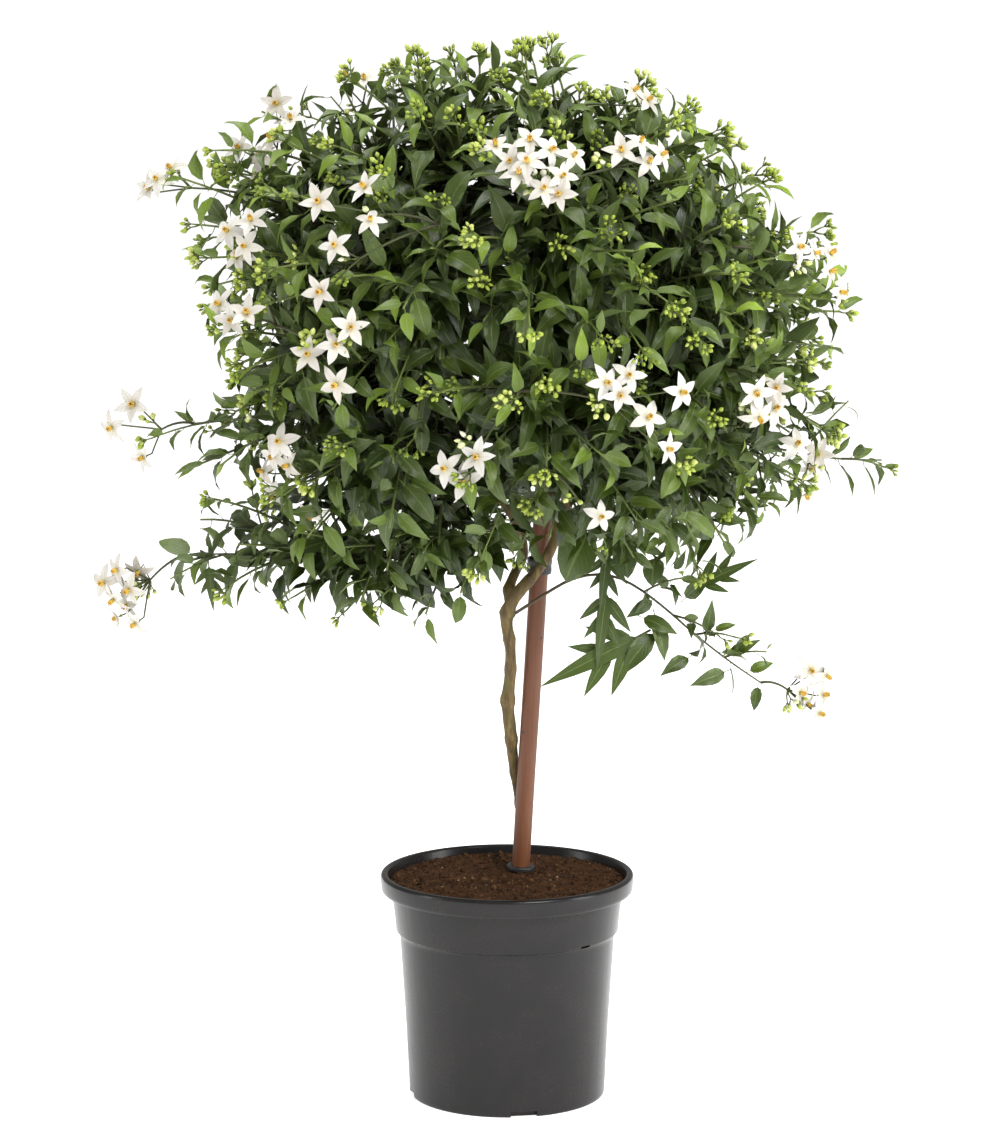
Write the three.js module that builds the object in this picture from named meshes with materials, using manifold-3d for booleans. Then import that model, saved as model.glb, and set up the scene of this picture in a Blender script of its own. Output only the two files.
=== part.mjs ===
// A potato vine (Solanum laxum) grown as a standard: a bushy head of leafy shoots and clusters of white
// star flowers on twining woody stems, tied to a cane in a black plastic nursery pot.
// Millimetres, +Z up, the front towards -Y, the origin at the centre of the pot's base.
import * as THREE from "three";
import { mergeVertices } from "three/addons/utils/BufferGeometryUtils.js";
import Module from "manifold-3d";

const wasm = await Module();
wasm.setup();

// ---- Driving dimensions ----

const GAP = 0.35; // clearance between pieces that touch
const SLIVER = 0.05; // detail finer than this is left by joining solids, and is merged away
const ROUND_SIDES = 36; // facets round the pot and the soil

const POT_HEIGHT = 170;
const POT_RIM_RADIUS = 95;
const POT_FOOT_RADIUS = 73.5;
const POT_WALL = 1.6;
const POT_FLOOR = 2.4;
const SHOULDER_Z = 125; // where the wall steps out to the shoulder band
const SHOULDER_RADIUS = 83.6;
const LIP_DROP = 14; // how far the rolled lip hangs below the top
const NOTCH = { width: 20, height: 4.5, depth: 9, turn: 10, count: 4 };
const SLOT = { width: 9, height: 2.4, turn: 44, count: 2 };

const SOIL_EDGE_Z = 163.6;
const SOIL_RISE = 1; // how far the soil mounds up towards the cane

const CANE_RADIUS = 7;
const CANE_FOOT = new THREE.Vector3(2, 30.5, 30);
const CANE_TOP = new THREE.Vector3(27.5, 13.5, 458);
const COLLAR = { thickness: 3, height: 3.2, z: 165.8 };
const TIE = { thickness: 1.7, height: 11, z: 395 };

const HEAD_CENTRE = new THREE.Vector3(10, 0, 590);
const HEAD_RADII = new THREE.Vector3(240, 205, 195);

const LEAF = { length: 40, width: 15, thickness: 1.8, droop: 5 };
const LEAF_CLEARANCE = 0.7;
const FLOWER = { radius: 14, centre: 4.5, thickness: 3.2, reflex: 2.5 };
const FLOWER_STAGGER = 6; // how far each open flower stands above or below its neighbours in a cluster
const BUD_RADIUS = 3;
const GOLDEN_ANGLE = Math.PI * (3 - Math.sqrt(5));

// ---- Materials ----

function finish(colour, roughness, metalness = 0) {
  return new THREE.MeshStandardMaterial({ color: colour, roughness, metalness });
}

const potPlastic = () => finish(0x2e2d2c, 0.32);
const peat = () => finish(0x3b2414, 0.95);
const caneWood = () => finish(0x9a5530, 0.6);
const blackRubber = () => finish(0x1d1e20, 0.5);
const bark = () => finish(0x6b5a2c, 0.8);
const leafGreen = () => finish(0x3d6a22, 0.45);
const petalWhite = () => finish(0xf6f4ea, 0.55);

// ---- Solids ----

// A three.js geometry as a manifold-3d solid, facing out.
function toSolid(geometry) {
  const bare = geometry.clone();
  bare.deleteAttribute("normal");
  bare.deleteAttribute("uv");
  const merged = mergeVertices(bare, 1e-4);
  const index = merged.index.array;
  const corners = [];
  for (let i = 0; i < index.length; i += 3) {
    const [a, b, c] = [index[i], index[i + 1], index[i + 2]];
    if (a !== b && b !== c && a !== c) corners.push(a, b, c);
  }
  const build = (triVerts) =>
    new wasm.Manifold(
      new wasm.Mesh({ numProp: 3, vertProperties: merged.attributes.position.array, triVerts }),
    );
  const solid = build(new Uint32Array(corners));
  return solid.volume() > 0 ? solid : build(new Uint32Array(corners).reverse());
}

// A manifold-3d solid as a three.js geometry, without the slivers that joining leaves.
function toGeometry(solid) {
  const mesh = solid.asOriginal().simplify(SLIVER).getMesh();
  const geometry = new THREE.BufferGeometry();
  geometry.setAttribute("position", new THREE.BufferAttribute(mesh.vertProperties, 3));
  geometry.setIndex(new THREE.BufferAttribute(mesh.triVerts, 1));
  geometry.computeVertexNormals();
  return geometry;
}

// A solid of revolution about +Z, from [radius, height] corners that start and end on the axis.
function turned(profile, sides = ROUND_SIDES) {
  const points = profile.map(([radius, height]) => new THREE.Vector2(radius, height));
  return new THREE.LatheGeometry(points, sides).rotateX(Math.PI / 2);
}

function circle(sides) {
  const shape = new THREE.Shape();
  for (let i = 0; i < sides; i++) {
    const angle = (2 * Math.PI * i) / sides;
    if (i === 0) shape.moveTo(1, 0);
    else shape.lineTo(Math.cos(angle), Math.sin(angle));
  }
  return shape;
}

// Which ring of a swept tube a corner of its faces is on: the two lids come first, then each strip of
// wall from end to end, as six corners a step.
function ringOf(corner, lidCorners, steps) {
  if (corner < lidCorners) return corner < lidCorners / 2 ? 0 : steps;
  const wall = corner - lidCorners;
  const isOnFarRing = [2, 4, 5].includes(wall % 6);
  return (Math.floor(wall / 6) % steps) + (isOnFarRing ? 1 : 0);
}

// A closed tube along a path, whose radius is a function of how far along it is, from 0 to 1.
function tube(path, radiusAt, sides, steps) {
  const geometry = new THREE.ExtrudeGeometry(circle(sides), { steps, extrudePath: path });
  const lidCorners = geometry.groups[0].count;
  const { position } = geometry.attributes;
  const corner = new THREE.Vector3();
  for (let i = 0; i < position.count; i++) {
    const along = ringOf(i, lidCorners, steps) / steps;
    const centre = path.getPointAt(along);
    corner.fromBufferAttribute(position, i).sub(centre);
    corner.multiplyScalar(radiusAt(along)).add(centre);
    position.setXYZ(i, corner.x, corner.y, corner.z);
  }
  return geometry;
}

// Moves a shape that lies along +X, with its upper side towards +Z, to lie along a direction.
function aimed(geometry, from, direction, up) {
  const x = direction.clone().normalize();
  const z = up.clone().addScaledVector(x, -up.dot(x)).normalize();
  const y = new THREE.Vector3().crossVectors(z, x);
  const place = new THREE.Matrix4().makeBasis(x, y, z).setPosition(from);
  return geometry.clone().applyMatrix4(place);
}

function joined(solids) {
  return solids.reduce((whole, solid) => whole.add(solid));
}

// ---- Pot, soil, cane and ties ----

const bareWall = POT_FOOT_RADIUS + 7.3; // the wall's radius just below the shoulder band

// The pot's outside from the foot up to the rolled lip, each corner a [radius, height].
const potOutside = [
  [POT_FOOT_RADIUS - 2, 0],
  [POT_FOOT_RADIUS, 2],
  [POT_FOOT_RADIUS + 3.3, 0.51 * SHOULDER_Z],
  [POT_FOOT_RADIUS + 5.5, 0.78 * SHOULDER_Z],
  [bareWall, SHOULDER_Z],
  [SHOULDER_RADIUS, SHOULDER_Z + 3.5],
  [SHOULDER_RADIUS + 3.3, POT_HEIGHT - LIP_DROP],
];

const rolledLip = [
  [POT_RIM_RADIUS - 1.4, POT_HEIGHT - 13],
  [POT_RIM_RADIUS - 0.4, POT_HEIGHT - 11],
  [POT_RIM_RADIUS, POT_HEIGHT - 4],
  [POT_RIM_RADIUS - 1, POT_HEIGHT - 1],
  [POT_RIM_RADIUS - 3, POT_HEIGHT],
  [POT_RIM_RADIUS - 5, POT_HEIGHT - 1.4],
  [POT_RIM_RADIUS - 6.8, POT_HEIGHT - 6.5],
];

function potInside(inset) {
  const floorZ = POT_FLOOR + inset - POT_WALL;
  return potOutside.map(([radius, height]) => [radius - inset, Math.max(height, floorZ)]).reverse();
}

// The same cutter at evenly spaced turns round the pot, the first one `turn` degrees right of the front.
function roundThePot(cutter, { turn, count }) {
  const cutters = [];
  for (let i = 0; i < count; i++) {
    const angle = THREE.MathUtils.degToRad(turn) + (2 * Math.PI * i) / count;
    cutters.push(toSolid(cutter.clone().rotateZ(angle)));
  }
  return joined(cutters);
}

function pot() {
  const wall = turned([[0, 0], ...potOutside, ...rolledLip, ...potInside(POT_WALL), [0, POT_FLOOR]]);
  const notch = new THREE.BoxGeometry(NOTCH.width, NOTCH.depth, 2 * NOTCH.height);
  notch.translate(0, -POT_FOOT_RADIUS, 0);
  const slot = new THREE.BoxGeometry(SLOT.width, 4 * POT_WALL, SLOT.height);
  slot.translate(0, -bareWall, SHOULDER_Z + 0.6 * SLOT.height);
  return toSolid(wall).subtract(roundThePot(notch, NOTCH)).subtract(roundThePot(slot, SLOT));
}

function canePath() {
  return new THREE.LineCurve3(CANE_FOOT, CANE_TOP);
}

function caneAt(height) {
  const share = (height - CANE_FOOT.z) / (CANE_TOP.z - CANE_FOOT.z);
  return new THREE.Vector3().lerpVectors(CANE_FOOT, CANE_TOP, share);
}

function cane(grow = 0) {
  return toSolid(tube(canePath(), (t) => CANE_RADIUS - 0.5 * t + grow, 12, 1));
}

// A band round the cane, from one height to another.
function caneBand({ thickness, height, z }) {
  const path = new THREE.LineCurve3(caneAt(z), caneAt(z + height));
  const inside = CANE_RADIUS + 2 * GAP;
  const hole = new THREE.LineCurve3(caneAt(z - 5), caneAt(z + height + 5));
  const band = toSolid(tube(path, () => inside + thickness, 12, 1));
  return band.subtract(toSolid(tube(hole, () => inside, 12, 1)));
}

const MAIN_STEM = [
  [12, 41, 118],
  [12, 40, 173],
  [10, 36.5, 217],
  [5.5, 30.5, 242],
  [3, 24, 260],
  [2, 20, 282],
  [0, 17, 300],
  [4, 14, 329],
  [-2, 8, 368],
  [8, 0, 383],
  [21, -1, 396],
  [29, 1, 408],
  [40, 4, 430],
  [45, 4, 460],
  [42, 2, 505],
  [32, 0, 565],
  [22, 0, 640],
];

const LEFT_STEM = [
  [-2, 17.5, 372],
  [3, 27, 388],
  [14, 33, 408],
  [8, 30, 430],
  [-10, 20, 456],
  [-28, 10, 490],
  [-40, 4, 540],
  [-42, 0, 600],
];

function curve(points) {
  return new THREE.CatmullRomCurve3(points.map((p) => new THREE.Vector3(...p)));
}

const mainPath = curve(MAIN_STEM);
const leftPath = curve(LEFT_STEM);

// Old wood: thickest at mid height, with a swelling at each old leaf node.
const mainRadius = (t) => 3.2 + 1.7 * Math.sin(Math.PI * Math.min(1, 1.25 * t)) + 0.5 * Math.cos(40 * t);
const leftRadius = (t) => 4 - 1.6 * t + 0.3 * Math.cos(30 * t);

function mainStem(grow = 0) {
  return toSolid(tube(mainPath, (t) => mainRadius(t) + grow, 6, 24));
}

function leftStem() {
  return toSolid(tube(leftPath, leftRadius, 6, 12));
}

function soil() {
  const mound = [
    [0.7 * SHOULDER_RADIUS, SOIL_EDGE_Z + 0.4 * SOIL_RISE],
    [0.3 * SHOULDER_RADIUS, SOIL_EDGE_Z + 0.9 * SOIL_RISE],
    [0, SOIL_EDGE_Z + SOIL_RISE],
  ];
  const inset = POT_WALL + GAP;
  const edge = [POT_RIM_RADIUS - 6.8 - 1.5 * GAP, SOIL_EDGE_Z];
  const side = potInside(inset).reverse();
  const block = toSolid(turned([[0, side[0][1]], ...side, edge, ...mound]));
  return block.subtract(cane(GAP)).subtract(mainStem(GAP));
}

// ---- Leaves, buds and flowers ----

// A pointed leaf along +X from its stalk at the origin: a keeled lens that recurves towards its tip.
function leafShape(scale = 1, clearance = 0) {
  const length = LEAF.length * scale + clearance;
  const outline = [
    [0, 0],
    [0.5, 0.36],
    [0.34, 0.7],
    [0, 1],
  ];
  const points = outline.map(([across, along]) => new THREE.Vector2(across, along * length));
  const leaf = new THREE.LatheGeometry(points, 4);
  leaf.rotateZ(-Math.PI / 2);
  leaf.scale(1, LEAF.thickness + 2 * clearance, LEAF.width * scale + 2 * clearance);
  leaf.rotateX(Math.PI / 2);
  const { position } = leaf.attributes;
  for (let i = 0; i < position.count; i++) {
    const along = position.getX(i) / length;
    position.setZ(i, position.getZ(i) - LEAF.droop * scale * along * along);
  }
  return leaf;
}

// A five-petalled star that faces +X: a flat double cone whose every other corner is a petal's tip.
function flowerShape() {
  const star = new THREE.SphereGeometry(1, 10, 2);
  const { position } = star.attributes;
  for (let i = 0; i < position.count; i++) {
    const [x, y, z] = [position.getX(i), position.getY(i), position.getZ(i)];
    const isPole = Math.abs(y) > 0.5;
    const corner = Math.round((Math.atan2(z, x) * 5) / Math.PI);
    const reach = corner % 2 === 0 ? FLOWER.radius : FLOWER.centre;
    const back = corner % 2 === 0 ? -FLOWER.reflex : 0;
    if (isPole) position.setXYZ(i, 0, (y * FLOWER.thickness) / 2, 0);
    else position.setXYZ(i, x * reach, back, z * reach);
  }
  return star.rotateZ(-Math.PI / 2);
}

function budShape() {
  return new THREE.OctahedronGeometry(BUD_RADIUS).scale(1.4, 1, 1);
}

const upright = new THREE.Vector3(0, 0, 1);
const rightward = new THREE.Vector3(1, 0, 0);

// A stalk from one point to another, three-sided and a little thinner at its end.
function stalk(from, to, radius) {
  return toSolid(tube(new THREE.LineCurve3(from, to), (t) => radius * (1 - 0.3 * t), 3, 1));
}

function upFor(direction) {
  return Math.abs(direction.z) > 0.95 * direction.length() ? rightward : upright;
}

// ---- Shoots ----

// Shoots that stand out of the head or trail from it, each through points chosen by hand.
const SINGLE_SHOOTS = {
  shoot_top_spike: [
    [-32, -7, 606],
    [-36, -18, 660],
    [-26, -22, 720],
    [-20, -16, 768],
  ],
  shoot_top_front: [
    [31, -8, 566],
    [34, -60, 628],
    [26, -132, 690],
  ],
  shoot_trailing_left_upper: [
    [-38, 3, 497],
    [-80, -20, 514],
    [-122, -36, 531],
    [-167, -22, 522],
    [-205, -6, 512],
    [-238, 0, 509],
  ],
  shoot_trailing_left_lower: [
    [-1, 20, 434],
    [-30, -8, 420],
    [-117, -22, 410],
    [-175, -8, 414],
    [-218, 0, 418],
    [-250, 0, 408],
  ],
  shoot_trailing_right_upper: [
    [49, -4, 509],
    [110, -30, 514],
    [175, -14, 500],
    [231, -4, 484],
    [262, 0, 478],
    [290, 0, 486],
  ],
  shoot_trailing_right_lower: [
    [7, -4, 366],
    [14, -7, 371],
    [28, -10, 383],
    [41, -16, 397],
    [61, -22, 416],
    [81, -26, 422],
    [98, -22, 400],
    [109, -18, 380],
    [133, -14, 357],
    [151, -8, 337],
    [172, -4, 324],
    [194, 0, 314],
  ],
};

// The shoots that fill the head, in tiers from its skirt to its crown: how many, how steeply they rise
// from the head's centre in degrees, and the turn of the first one round the head.
const TIERS = [
  { name: "skirt", count: 7, rise: -33, turn: 20 },
  { name: "waist", count: 6, rise: -6, turn: 30 },
  { name: "shoulder", count: 5, rise: 27, turn: 36 },
  { name: "crown", count: 3, rise: 62, turn: 60 },
];
const REACH = 0.86; // how far along the way to the head's outline a shoot's bare stem goes
const SPINE_RADIUS = 1.9;

// The point on the head's outline in a direction given by its turn and its rise, in radians.
function onHead(turn, rise, reach) {
  const way = new THREE.Vector3(
    Math.cos(rise) * Math.cos(turn),
    Math.cos(rise) * Math.sin(turn),
    Math.sin(rise),
  );
  return way.multiply(HEAD_RADII).multiplyScalar(reach).add(HEAD_CENTRE);
}

// Where a shoot leaves the woody stems: just off the side of the nearer one that faces its tip.
function rootOnStem(tip, height, radius) {
  const isLeft = tip.x < 0;
  const path = isLeft ? leftPath : mainPath;
  const radiusAt = isLeft ? leftRadius : mainRadius;
  let nearest = 0;
  for (let t = 0.5; t <= 1; t += 0.005) {
    const isNearer =
      Math.abs(path.getPointAt(t).z - height) < Math.abs(path.getPointAt(nearest).z - height);
    if (isNearer) nearest = t;
  }
  const centre = path.getPointAt(nearest);
  const way = tip.clone().sub(centre).setZ(0).normalize();
  return centre.addScaledVector(way, radiusAt(nearest) + radius + GAP + 0.8);
}

function headShoots() {
  const paths = {};
  for (const [tier, { name, count, rise, turn }] of TIERS.entries()) {
    for (let i = 0; i < count; i++) {
      const angle = THREE.MathUtils.degToRad(turn) + (2 * Math.PI * i) / count;
      const steep = THREE.MathUtils.degToRad(rise + 7 * Math.sin(2.4 * i + tier));
      const tip = onHead(angle, steep, REACH);
      const root = rootOnStem(tip, 462 + 42 * tier + 7 * ((3 * i) % count) * (5 / count), SPINE_RADIUS);
      const middle = root.clone().lerp(tip, 0.55);
      middle.z += 16 - 4 * tier;
      const points = [root, middle, tip].map((p) => p.toArray());
      paths["shoot_" + name + "_" + (i + 1)] = curve(points);
    }
  }
  return paths;
}

const shootPaths = headShoots();
for (const [name, points] of Object.entries(SINGLE_SHOOTS)) shootPaths[name] = curve(points);

// ---- Flower clusters: the centre of each, how many flowers are open and how wide they spread ----

const CLUSTERS = {
  flowers_top_front: { at: [20, -158, 712], open: 7, spread: 24 },
  flowers_top_right: { at: [95, -133, 720], open: 3, spread: 16 },
  flowers_crown_left: { at: [-108, -10, 768], open: 2, spread: 12 },
  flowers_crown_right: { at: [94, -74, 762], open: 2, spread: 9 },
  flowers_upper_left: { at: [-175, 0, 728], open: 4, spread: 20 },
  flowers_far_left: { at: [-249, 0, 694], open: 2, spread: 9 },
  flowers_left_high: { at: [-192, -85, 660], open: 3, spread: 16 },
  flowers_left_brow: { at: [-110, -152, 688], open: 3, spread: 22 },
  flowers_left_cheek: { at: [-126, -156, 638], open: 2, spread: 18 },
  flowers_left_mid: { at: [-193, -104, 600], open: 2, spread: 13 },
  flowers_left_three: { at: [-122, -168, 582], open: 4, spread: 20 },
  flowers_left_low: { at: [-162, -92, 484], open: 5, spread: 24 },
  flowers_trail_left_upper: { at: [-279, 0, 504], open: 3, spread: 20 },
  flowers_trail_left_lower: { at: [-286, 0, 380], open: 6, spread: 18 },
  flowers_front_low: { at: [-31, -176, 498], open: 3, spread: 15 },
  flowers_front_right: { at: [95, -184, 545], open: 5, spread: 28 },
  flowers_under_right: { at: [66, -150, 458], open: 1, spread: 0 },
  flowers_right_mid: { at: [185, -128, 540], open: 4, spread: 14 },
  flowers_right_low: { at: [218, -30, 468], open: 3, spread: 18 },
  flowers_right_edge: { at: [226, -76, 632], open: 4, spread: 20 },
  flowers_trail_right_lower: { at: [228, 0, 308], open: 5, spread: 16 },
  flowers_back_high: { at: [40, 165, 700], open: 4, spread: 20 },
  flowers_back_left: { at: [-130, 165, 625], open: 4, spread: 20 },
  flowers_back_right: { at: [155, 150, 610], open: 4, spread: 18 },
  flowers_back_low: { at: [20, 196, 515], open: 3, spread: 16 },
};

// The flowers' places: in a sunflower spiral over a shallow dome that faces out of the head.
function flowerPlaces({ at, open, spread }) {
  const centre = new THREE.Vector3(...at);
  const facing = centre.clone().sub(HEAD_CENTRE).divide(HEAD_RADII).normalize();
  const side = new THREE.Vector3().crossVectors(facing, upFor(facing)).normalize();
  const over = new THREE.Vector3().crossVectors(side, facing);
  const places = [];
  for (let i = 0; i < open; i++) {
    const out = spread * Math.sqrt((i + 0.5) / open);
    const angle = i * GOLDEN_ANGLE;
    const shift = side.clone().multiplyScalar(Math.cos(angle)).addScaledVector(over, Math.sin(angle));
    const height = FLOWER_STAGGER * ((i % 3) - 1) - 0.3 * out;
    const place = centre.clone().addScaledVector(shift, out).addScaledVector(facing, height);
    places.push({ place, facing: facing.clone().addScaledVector(shift, 0.5 * (out / 20)) });
  }
  return places;
}

// A cluster grows from the nearest shoot on a stalk that forks to each flower behind its face.
function flowerCluster(cluster, spines) {
  const centre = new THREE.Vector3(...cluster.at);
  const nearest = nearestOn(spines, centre);
  const inward = nearest.point.clone().sub(centre).normalize();
  const from = nearest.point.clone().addScaledVector(inward, -(nearest.radius + GAP + 0.6));
  const fork = centre.clone().addScaledVector(inward, Math.min(18, 0.6 * from.distanceTo(centre)));
  const solids = [stalk(from, fork.clone().addScaledVector(inward, -1), 1.2)];
  for (const { place, facing } of flowerPlaces(cluster)) {
    const star = aimed(flowerShape(), place, facing, upFor(facing));
    solids.push(toSolid(star));
    solids.push(stalk(fork, place.clone().addScaledVector(facing.clone().normalize(), -0.3), 1));
  }
  return joined(solids);
}

const SPINE_SIDES = 4;
const SPINE_STEP = 34; // length of each straight stretch of a shoot's stem
const spineRadius = (t) => SPINE_RADIUS * (1 - 0.45 * t);
const spineSteps = (path) => Math.round(path.getLength() / SPINE_STEP);

// The middle of a shoot's stem, on the straight stretches that its curve is built of.
function spineMiddle(path, t) {
  const steps = spineSteps(path);
  const step = Math.min(Math.floor(t * steps), steps - 1);
  return path.getPointAt(step / steps).lerp(path.getPointAt((step + 1) / steps), t * steps - step);
}

// The nearest point on any shoot's stem, and the stem's radius there.
function nearestOn(paths, target) {
  let best = { distance: Infinity };
  for (const path of Object.values(paths)) {
    for (let i = 12; i <= 40; i++) {
      const t = i / 40;
      const point = spineMiddle(path, t);
      const distance = point.distanceTo(target);
      if (distance < best.distance) best = { point, distance, radius: spineRadius(t) };
    }
  }
  return best;
}

// ---- Growing the head: bare stems and flowers first, then each leaf where it is clear of the rest ----

const grown = {};

function isClear(solid, owner) {
  const mine = solid.boundingBox();
  return Object.entries(grown).every(([name, other]) => {
    if (name === owner) return true;
    const box = other.boundingBox();
    const apart = [0, 1, 2].some((k) => mine.min[k] > box.max[k] || mine.max[k] < box.min[k]);
    return apart || solid.intersect(other).volume() < 1e-6;
  });
}

// Tries a leaf or bud at a place on a shoot, turned a little further each time, until it is clear.
function tryAdding(owner, makeAt, tries) {
  for (let attempt = 0; attempt < tries; attempt++) {
    const { solid, test } = makeAt(attempt);
    if (isClear(test, owner)) {
      grown[owner] = grown[owner].add(solid);
      return;
    }
  }
}

function addLeaf(owner, path, t, turn, scale) {
  const point = spineMiddle(path, t);
  const tangent = path.getTangentAt(t);
  tryAdding(
    owner,
    (attempt) => {
      const side = new THREE.Vector3().crossVectors(tangent, upFor(tangent)).normalize();
      side.applyAxisAngle(tangent, turn + 0.7 * attempt);
      const way = tangent.clone().multiplyScalar(0.55).addScaledVector(side, 0.85);
      way.z -= 0.15;
      const face = upFor(way).clone().addScaledVector(tangent, 0.4);
      const shape = (clearance) => toSolid(aimed(leafShape(scale, clearance), point, way, face));
      return { solid: shape(0), test: shape(LEAF_CLEARANCE) };
    },
    8,
  );
}

function addBud(owner, path, turn) {
  const tip = spineMiddle(path, 0.985);
  const tangent = path.getTangentAt(1);
  tryAdding(
    owner,
    (attempt) => {
      const side = new THREE.Vector3().crossVectors(tangent, upFor(tangent)).normalize();
      side.applyAxisAngle(tangent, turn + 0.8 * attempt);
      const way = tangent.clone().addScaledVector(side, 0.6).normalize();
      const end = tip.clone().addScaledVector(way, 13);
      const bud = toSolid(aimed(budShape(), end, way, upFor(way)));
      const solid = bud.add(stalk(tip, end, 0.8));
      const test = toSolid(aimed(budShape().scale(1.3, 1.3, 1.3), end, way, upFor(way)));
      return { solid, test: test.add(stalk(tip, end, 1.4)) };
    },
    6,
  );
}

const MOST_LEAVES = 9;
const LEAF_SPACING = 19; // along a shoot's stem
const BUDS = 2; // at a shoot's tip

function leafCount(path) {
  return Math.round(Math.min(MOST_LEAVES, path.getLength() / LEAF_SPACING));
}

// Leaves climb each shoot's outer part in a golden-angle spiral, and are smaller towards its tip.
function addFoliage(owner, path) {
  const count = leafCount(path);
  const firstLeaf = owner === "shoot_trailing_right_lower" ? 0.3 : 0.22;
  for (let i = 0; i < count; i++) {
    const t = firstLeaf + ((0.96 - firstLeaf) * (i + 0.5)) / count;
    addLeaf(owner, path, t, i * GOLDEN_ANGLE, 1.12 - 0.4 * t + 0.12 * Math.sin(5 * i));
  }
  for (let i = 0; i < BUDS; i++) addBud(owner, path, (2 * Math.PI * i) / BUDS);
}

grown.main_stem = mainStem();
grown.left_stem = leftStem();
grown.cane = cane();
grown.cane_collar = caneBand(COLLAR);
grown.top_tie = caneBand(TIE);
grown.pot = pot();
grown.soil = soil();
for (const [name, path] of Object.entries(shootPaths)) {
  grown[name] = toSolid(tube(path, spineRadius, SPINE_SIDES, spineSteps(path)));
}
for (const [name, cluster] of Object.entries(CLUSTERS)) {
  grown[name] = flowerCluster(cluster, shootPaths);
}
for (const [name, path] of Object.entries(shootPaths)) addFoliage(name, path);

// ---- The scene graph ----

function materialOf(name) {
  if (name.startsWith("shoot_")) return leafGreen();
  if (name.startsWith("flowers_")) return petalWhite();
  const own = { pot: potPlastic, soil: peat, cane: caneWood, cane_collar: blackRubber, top_tie: blackRubber };
  return (own[name] ?? bark)();
}

const plant = new THREE.Group();
plant.name = "potato_vine";
for (const [name, solid] of Object.entries(grown)) {
  const mesh = new THREE.Mesh(toGeometry(solid), materialOf(name));
  mesh.name = name;
  plant.add(mesh);
}

export default plant;
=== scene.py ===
"""The looks of a potted potato vine, grown as a standard on a cane, built round its CAD frame. Metres."""

import math

import bpy
import numpy as np
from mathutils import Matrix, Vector


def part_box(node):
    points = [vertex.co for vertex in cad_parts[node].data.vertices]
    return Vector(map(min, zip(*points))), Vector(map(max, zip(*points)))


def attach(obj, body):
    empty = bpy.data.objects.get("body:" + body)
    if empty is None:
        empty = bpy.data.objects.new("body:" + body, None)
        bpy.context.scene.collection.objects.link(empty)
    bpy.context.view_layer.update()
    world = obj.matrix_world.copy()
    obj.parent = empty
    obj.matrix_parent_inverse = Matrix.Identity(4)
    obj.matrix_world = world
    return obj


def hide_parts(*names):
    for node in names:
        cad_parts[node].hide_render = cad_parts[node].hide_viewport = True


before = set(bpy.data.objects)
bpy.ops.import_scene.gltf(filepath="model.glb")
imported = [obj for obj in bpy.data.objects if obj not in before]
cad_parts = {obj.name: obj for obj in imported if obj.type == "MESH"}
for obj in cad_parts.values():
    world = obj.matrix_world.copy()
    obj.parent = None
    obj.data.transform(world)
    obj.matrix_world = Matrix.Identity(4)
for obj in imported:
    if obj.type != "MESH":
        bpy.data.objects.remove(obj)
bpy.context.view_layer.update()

MM = 0.001
random = np.random.default_rng(11)
UP = np.array([0.0, 0.0, 1.0])
SIDEWAYS = np.array([1.0, 0.0, 0.0])

# ---- Driving values, which the CAD source also holds ----

HEAD_CENTRE = np.array([0.010, 0.0, 0.590])
HEAD_RADII = np.array([0.240, 0.192, 0.195])
CANE_RADIUS = 7 * MM
POT_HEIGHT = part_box("pot")[1].z
POT_RIM_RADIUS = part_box("pot")[1].x
GOLDEN_ANGLE = math.pi * (3 - math.sqrt(5))

# ---- Vectors ----


def unit(v):
    """v, or each row of v, at length 1."""
    v = np.asarray(v, float)
    return v / np.maximum(np.linalg.norm(v, axis=-1, keepdims=True), 1e-12)


def smoothed(points, passes=1):
    """A path with its inner points drawn towards the middle of their neighbours."""
    points = np.array(points, float)
    for _ in range(passes):
        points[1:-1] = 0.5 * points[1:-1] + 0.25 * (points[:-2] + points[2:])
    return points


def resampled(points, count):
    """count points evenly spaced along a path, on a smooth curve through it."""
    points = np.asarray(points, float)
    padded = np.vstack([2 * points[0] - points[1], points, 2 * points[-1] - points[-2]])
    fine = []
    for i in range(1, len(padded) - 2):
        a, b, c, d = padded[i - 1 : i + 3]
        t = np.linspace(0, 1, 12, endpoint=False)[:, None]
        square, cube = 2 * a - 5 * b + 4 * c - d, 3 * b - a - 3 * c + d
        fine.append(0.5 * (2 * b + (c - a) * t + square * t**2 + cube * t**3))
    fine = np.vstack(fine + [points[-1:]])
    reach = reach_along(fine)
    wanted = np.linspace(0, reach[-1], count)
    return np.stack([np.interp(wanted, reach, fine[:, k]) for k in range(3)], axis=1)


def path_length(points):
    return float(np.linalg.norm(np.diff(points, axis=0), axis=1).sum())


def bezier(a, b, c, count):
    """count points on the curve from a to c that bends towards b."""
    t = np.linspace(0, 1, count)[:, None]
    return (1 - t) ** 2 * a + 2 * t * (1 - t) * b + t**2 * c


def reach_along(points):
    """How far along a path each of its points is."""
    return np.concatenate([[0], np.cumsum(np.linalg.norm(np.diff(points, axis=0), axis=1))])


def beside(way):
    """Up, or sideways for a way that is nearly upright: never along the way itself."""
    return UP if abs(way[2]) < 0.9 else SIDEWAYS


def round_angles(sides):
    """The angles of sides corners spaced evenly round a ring."""
    return np.linspace(0, 2 * math.pi, sides, endpoint=False)


# ---- Meshes ----


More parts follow.
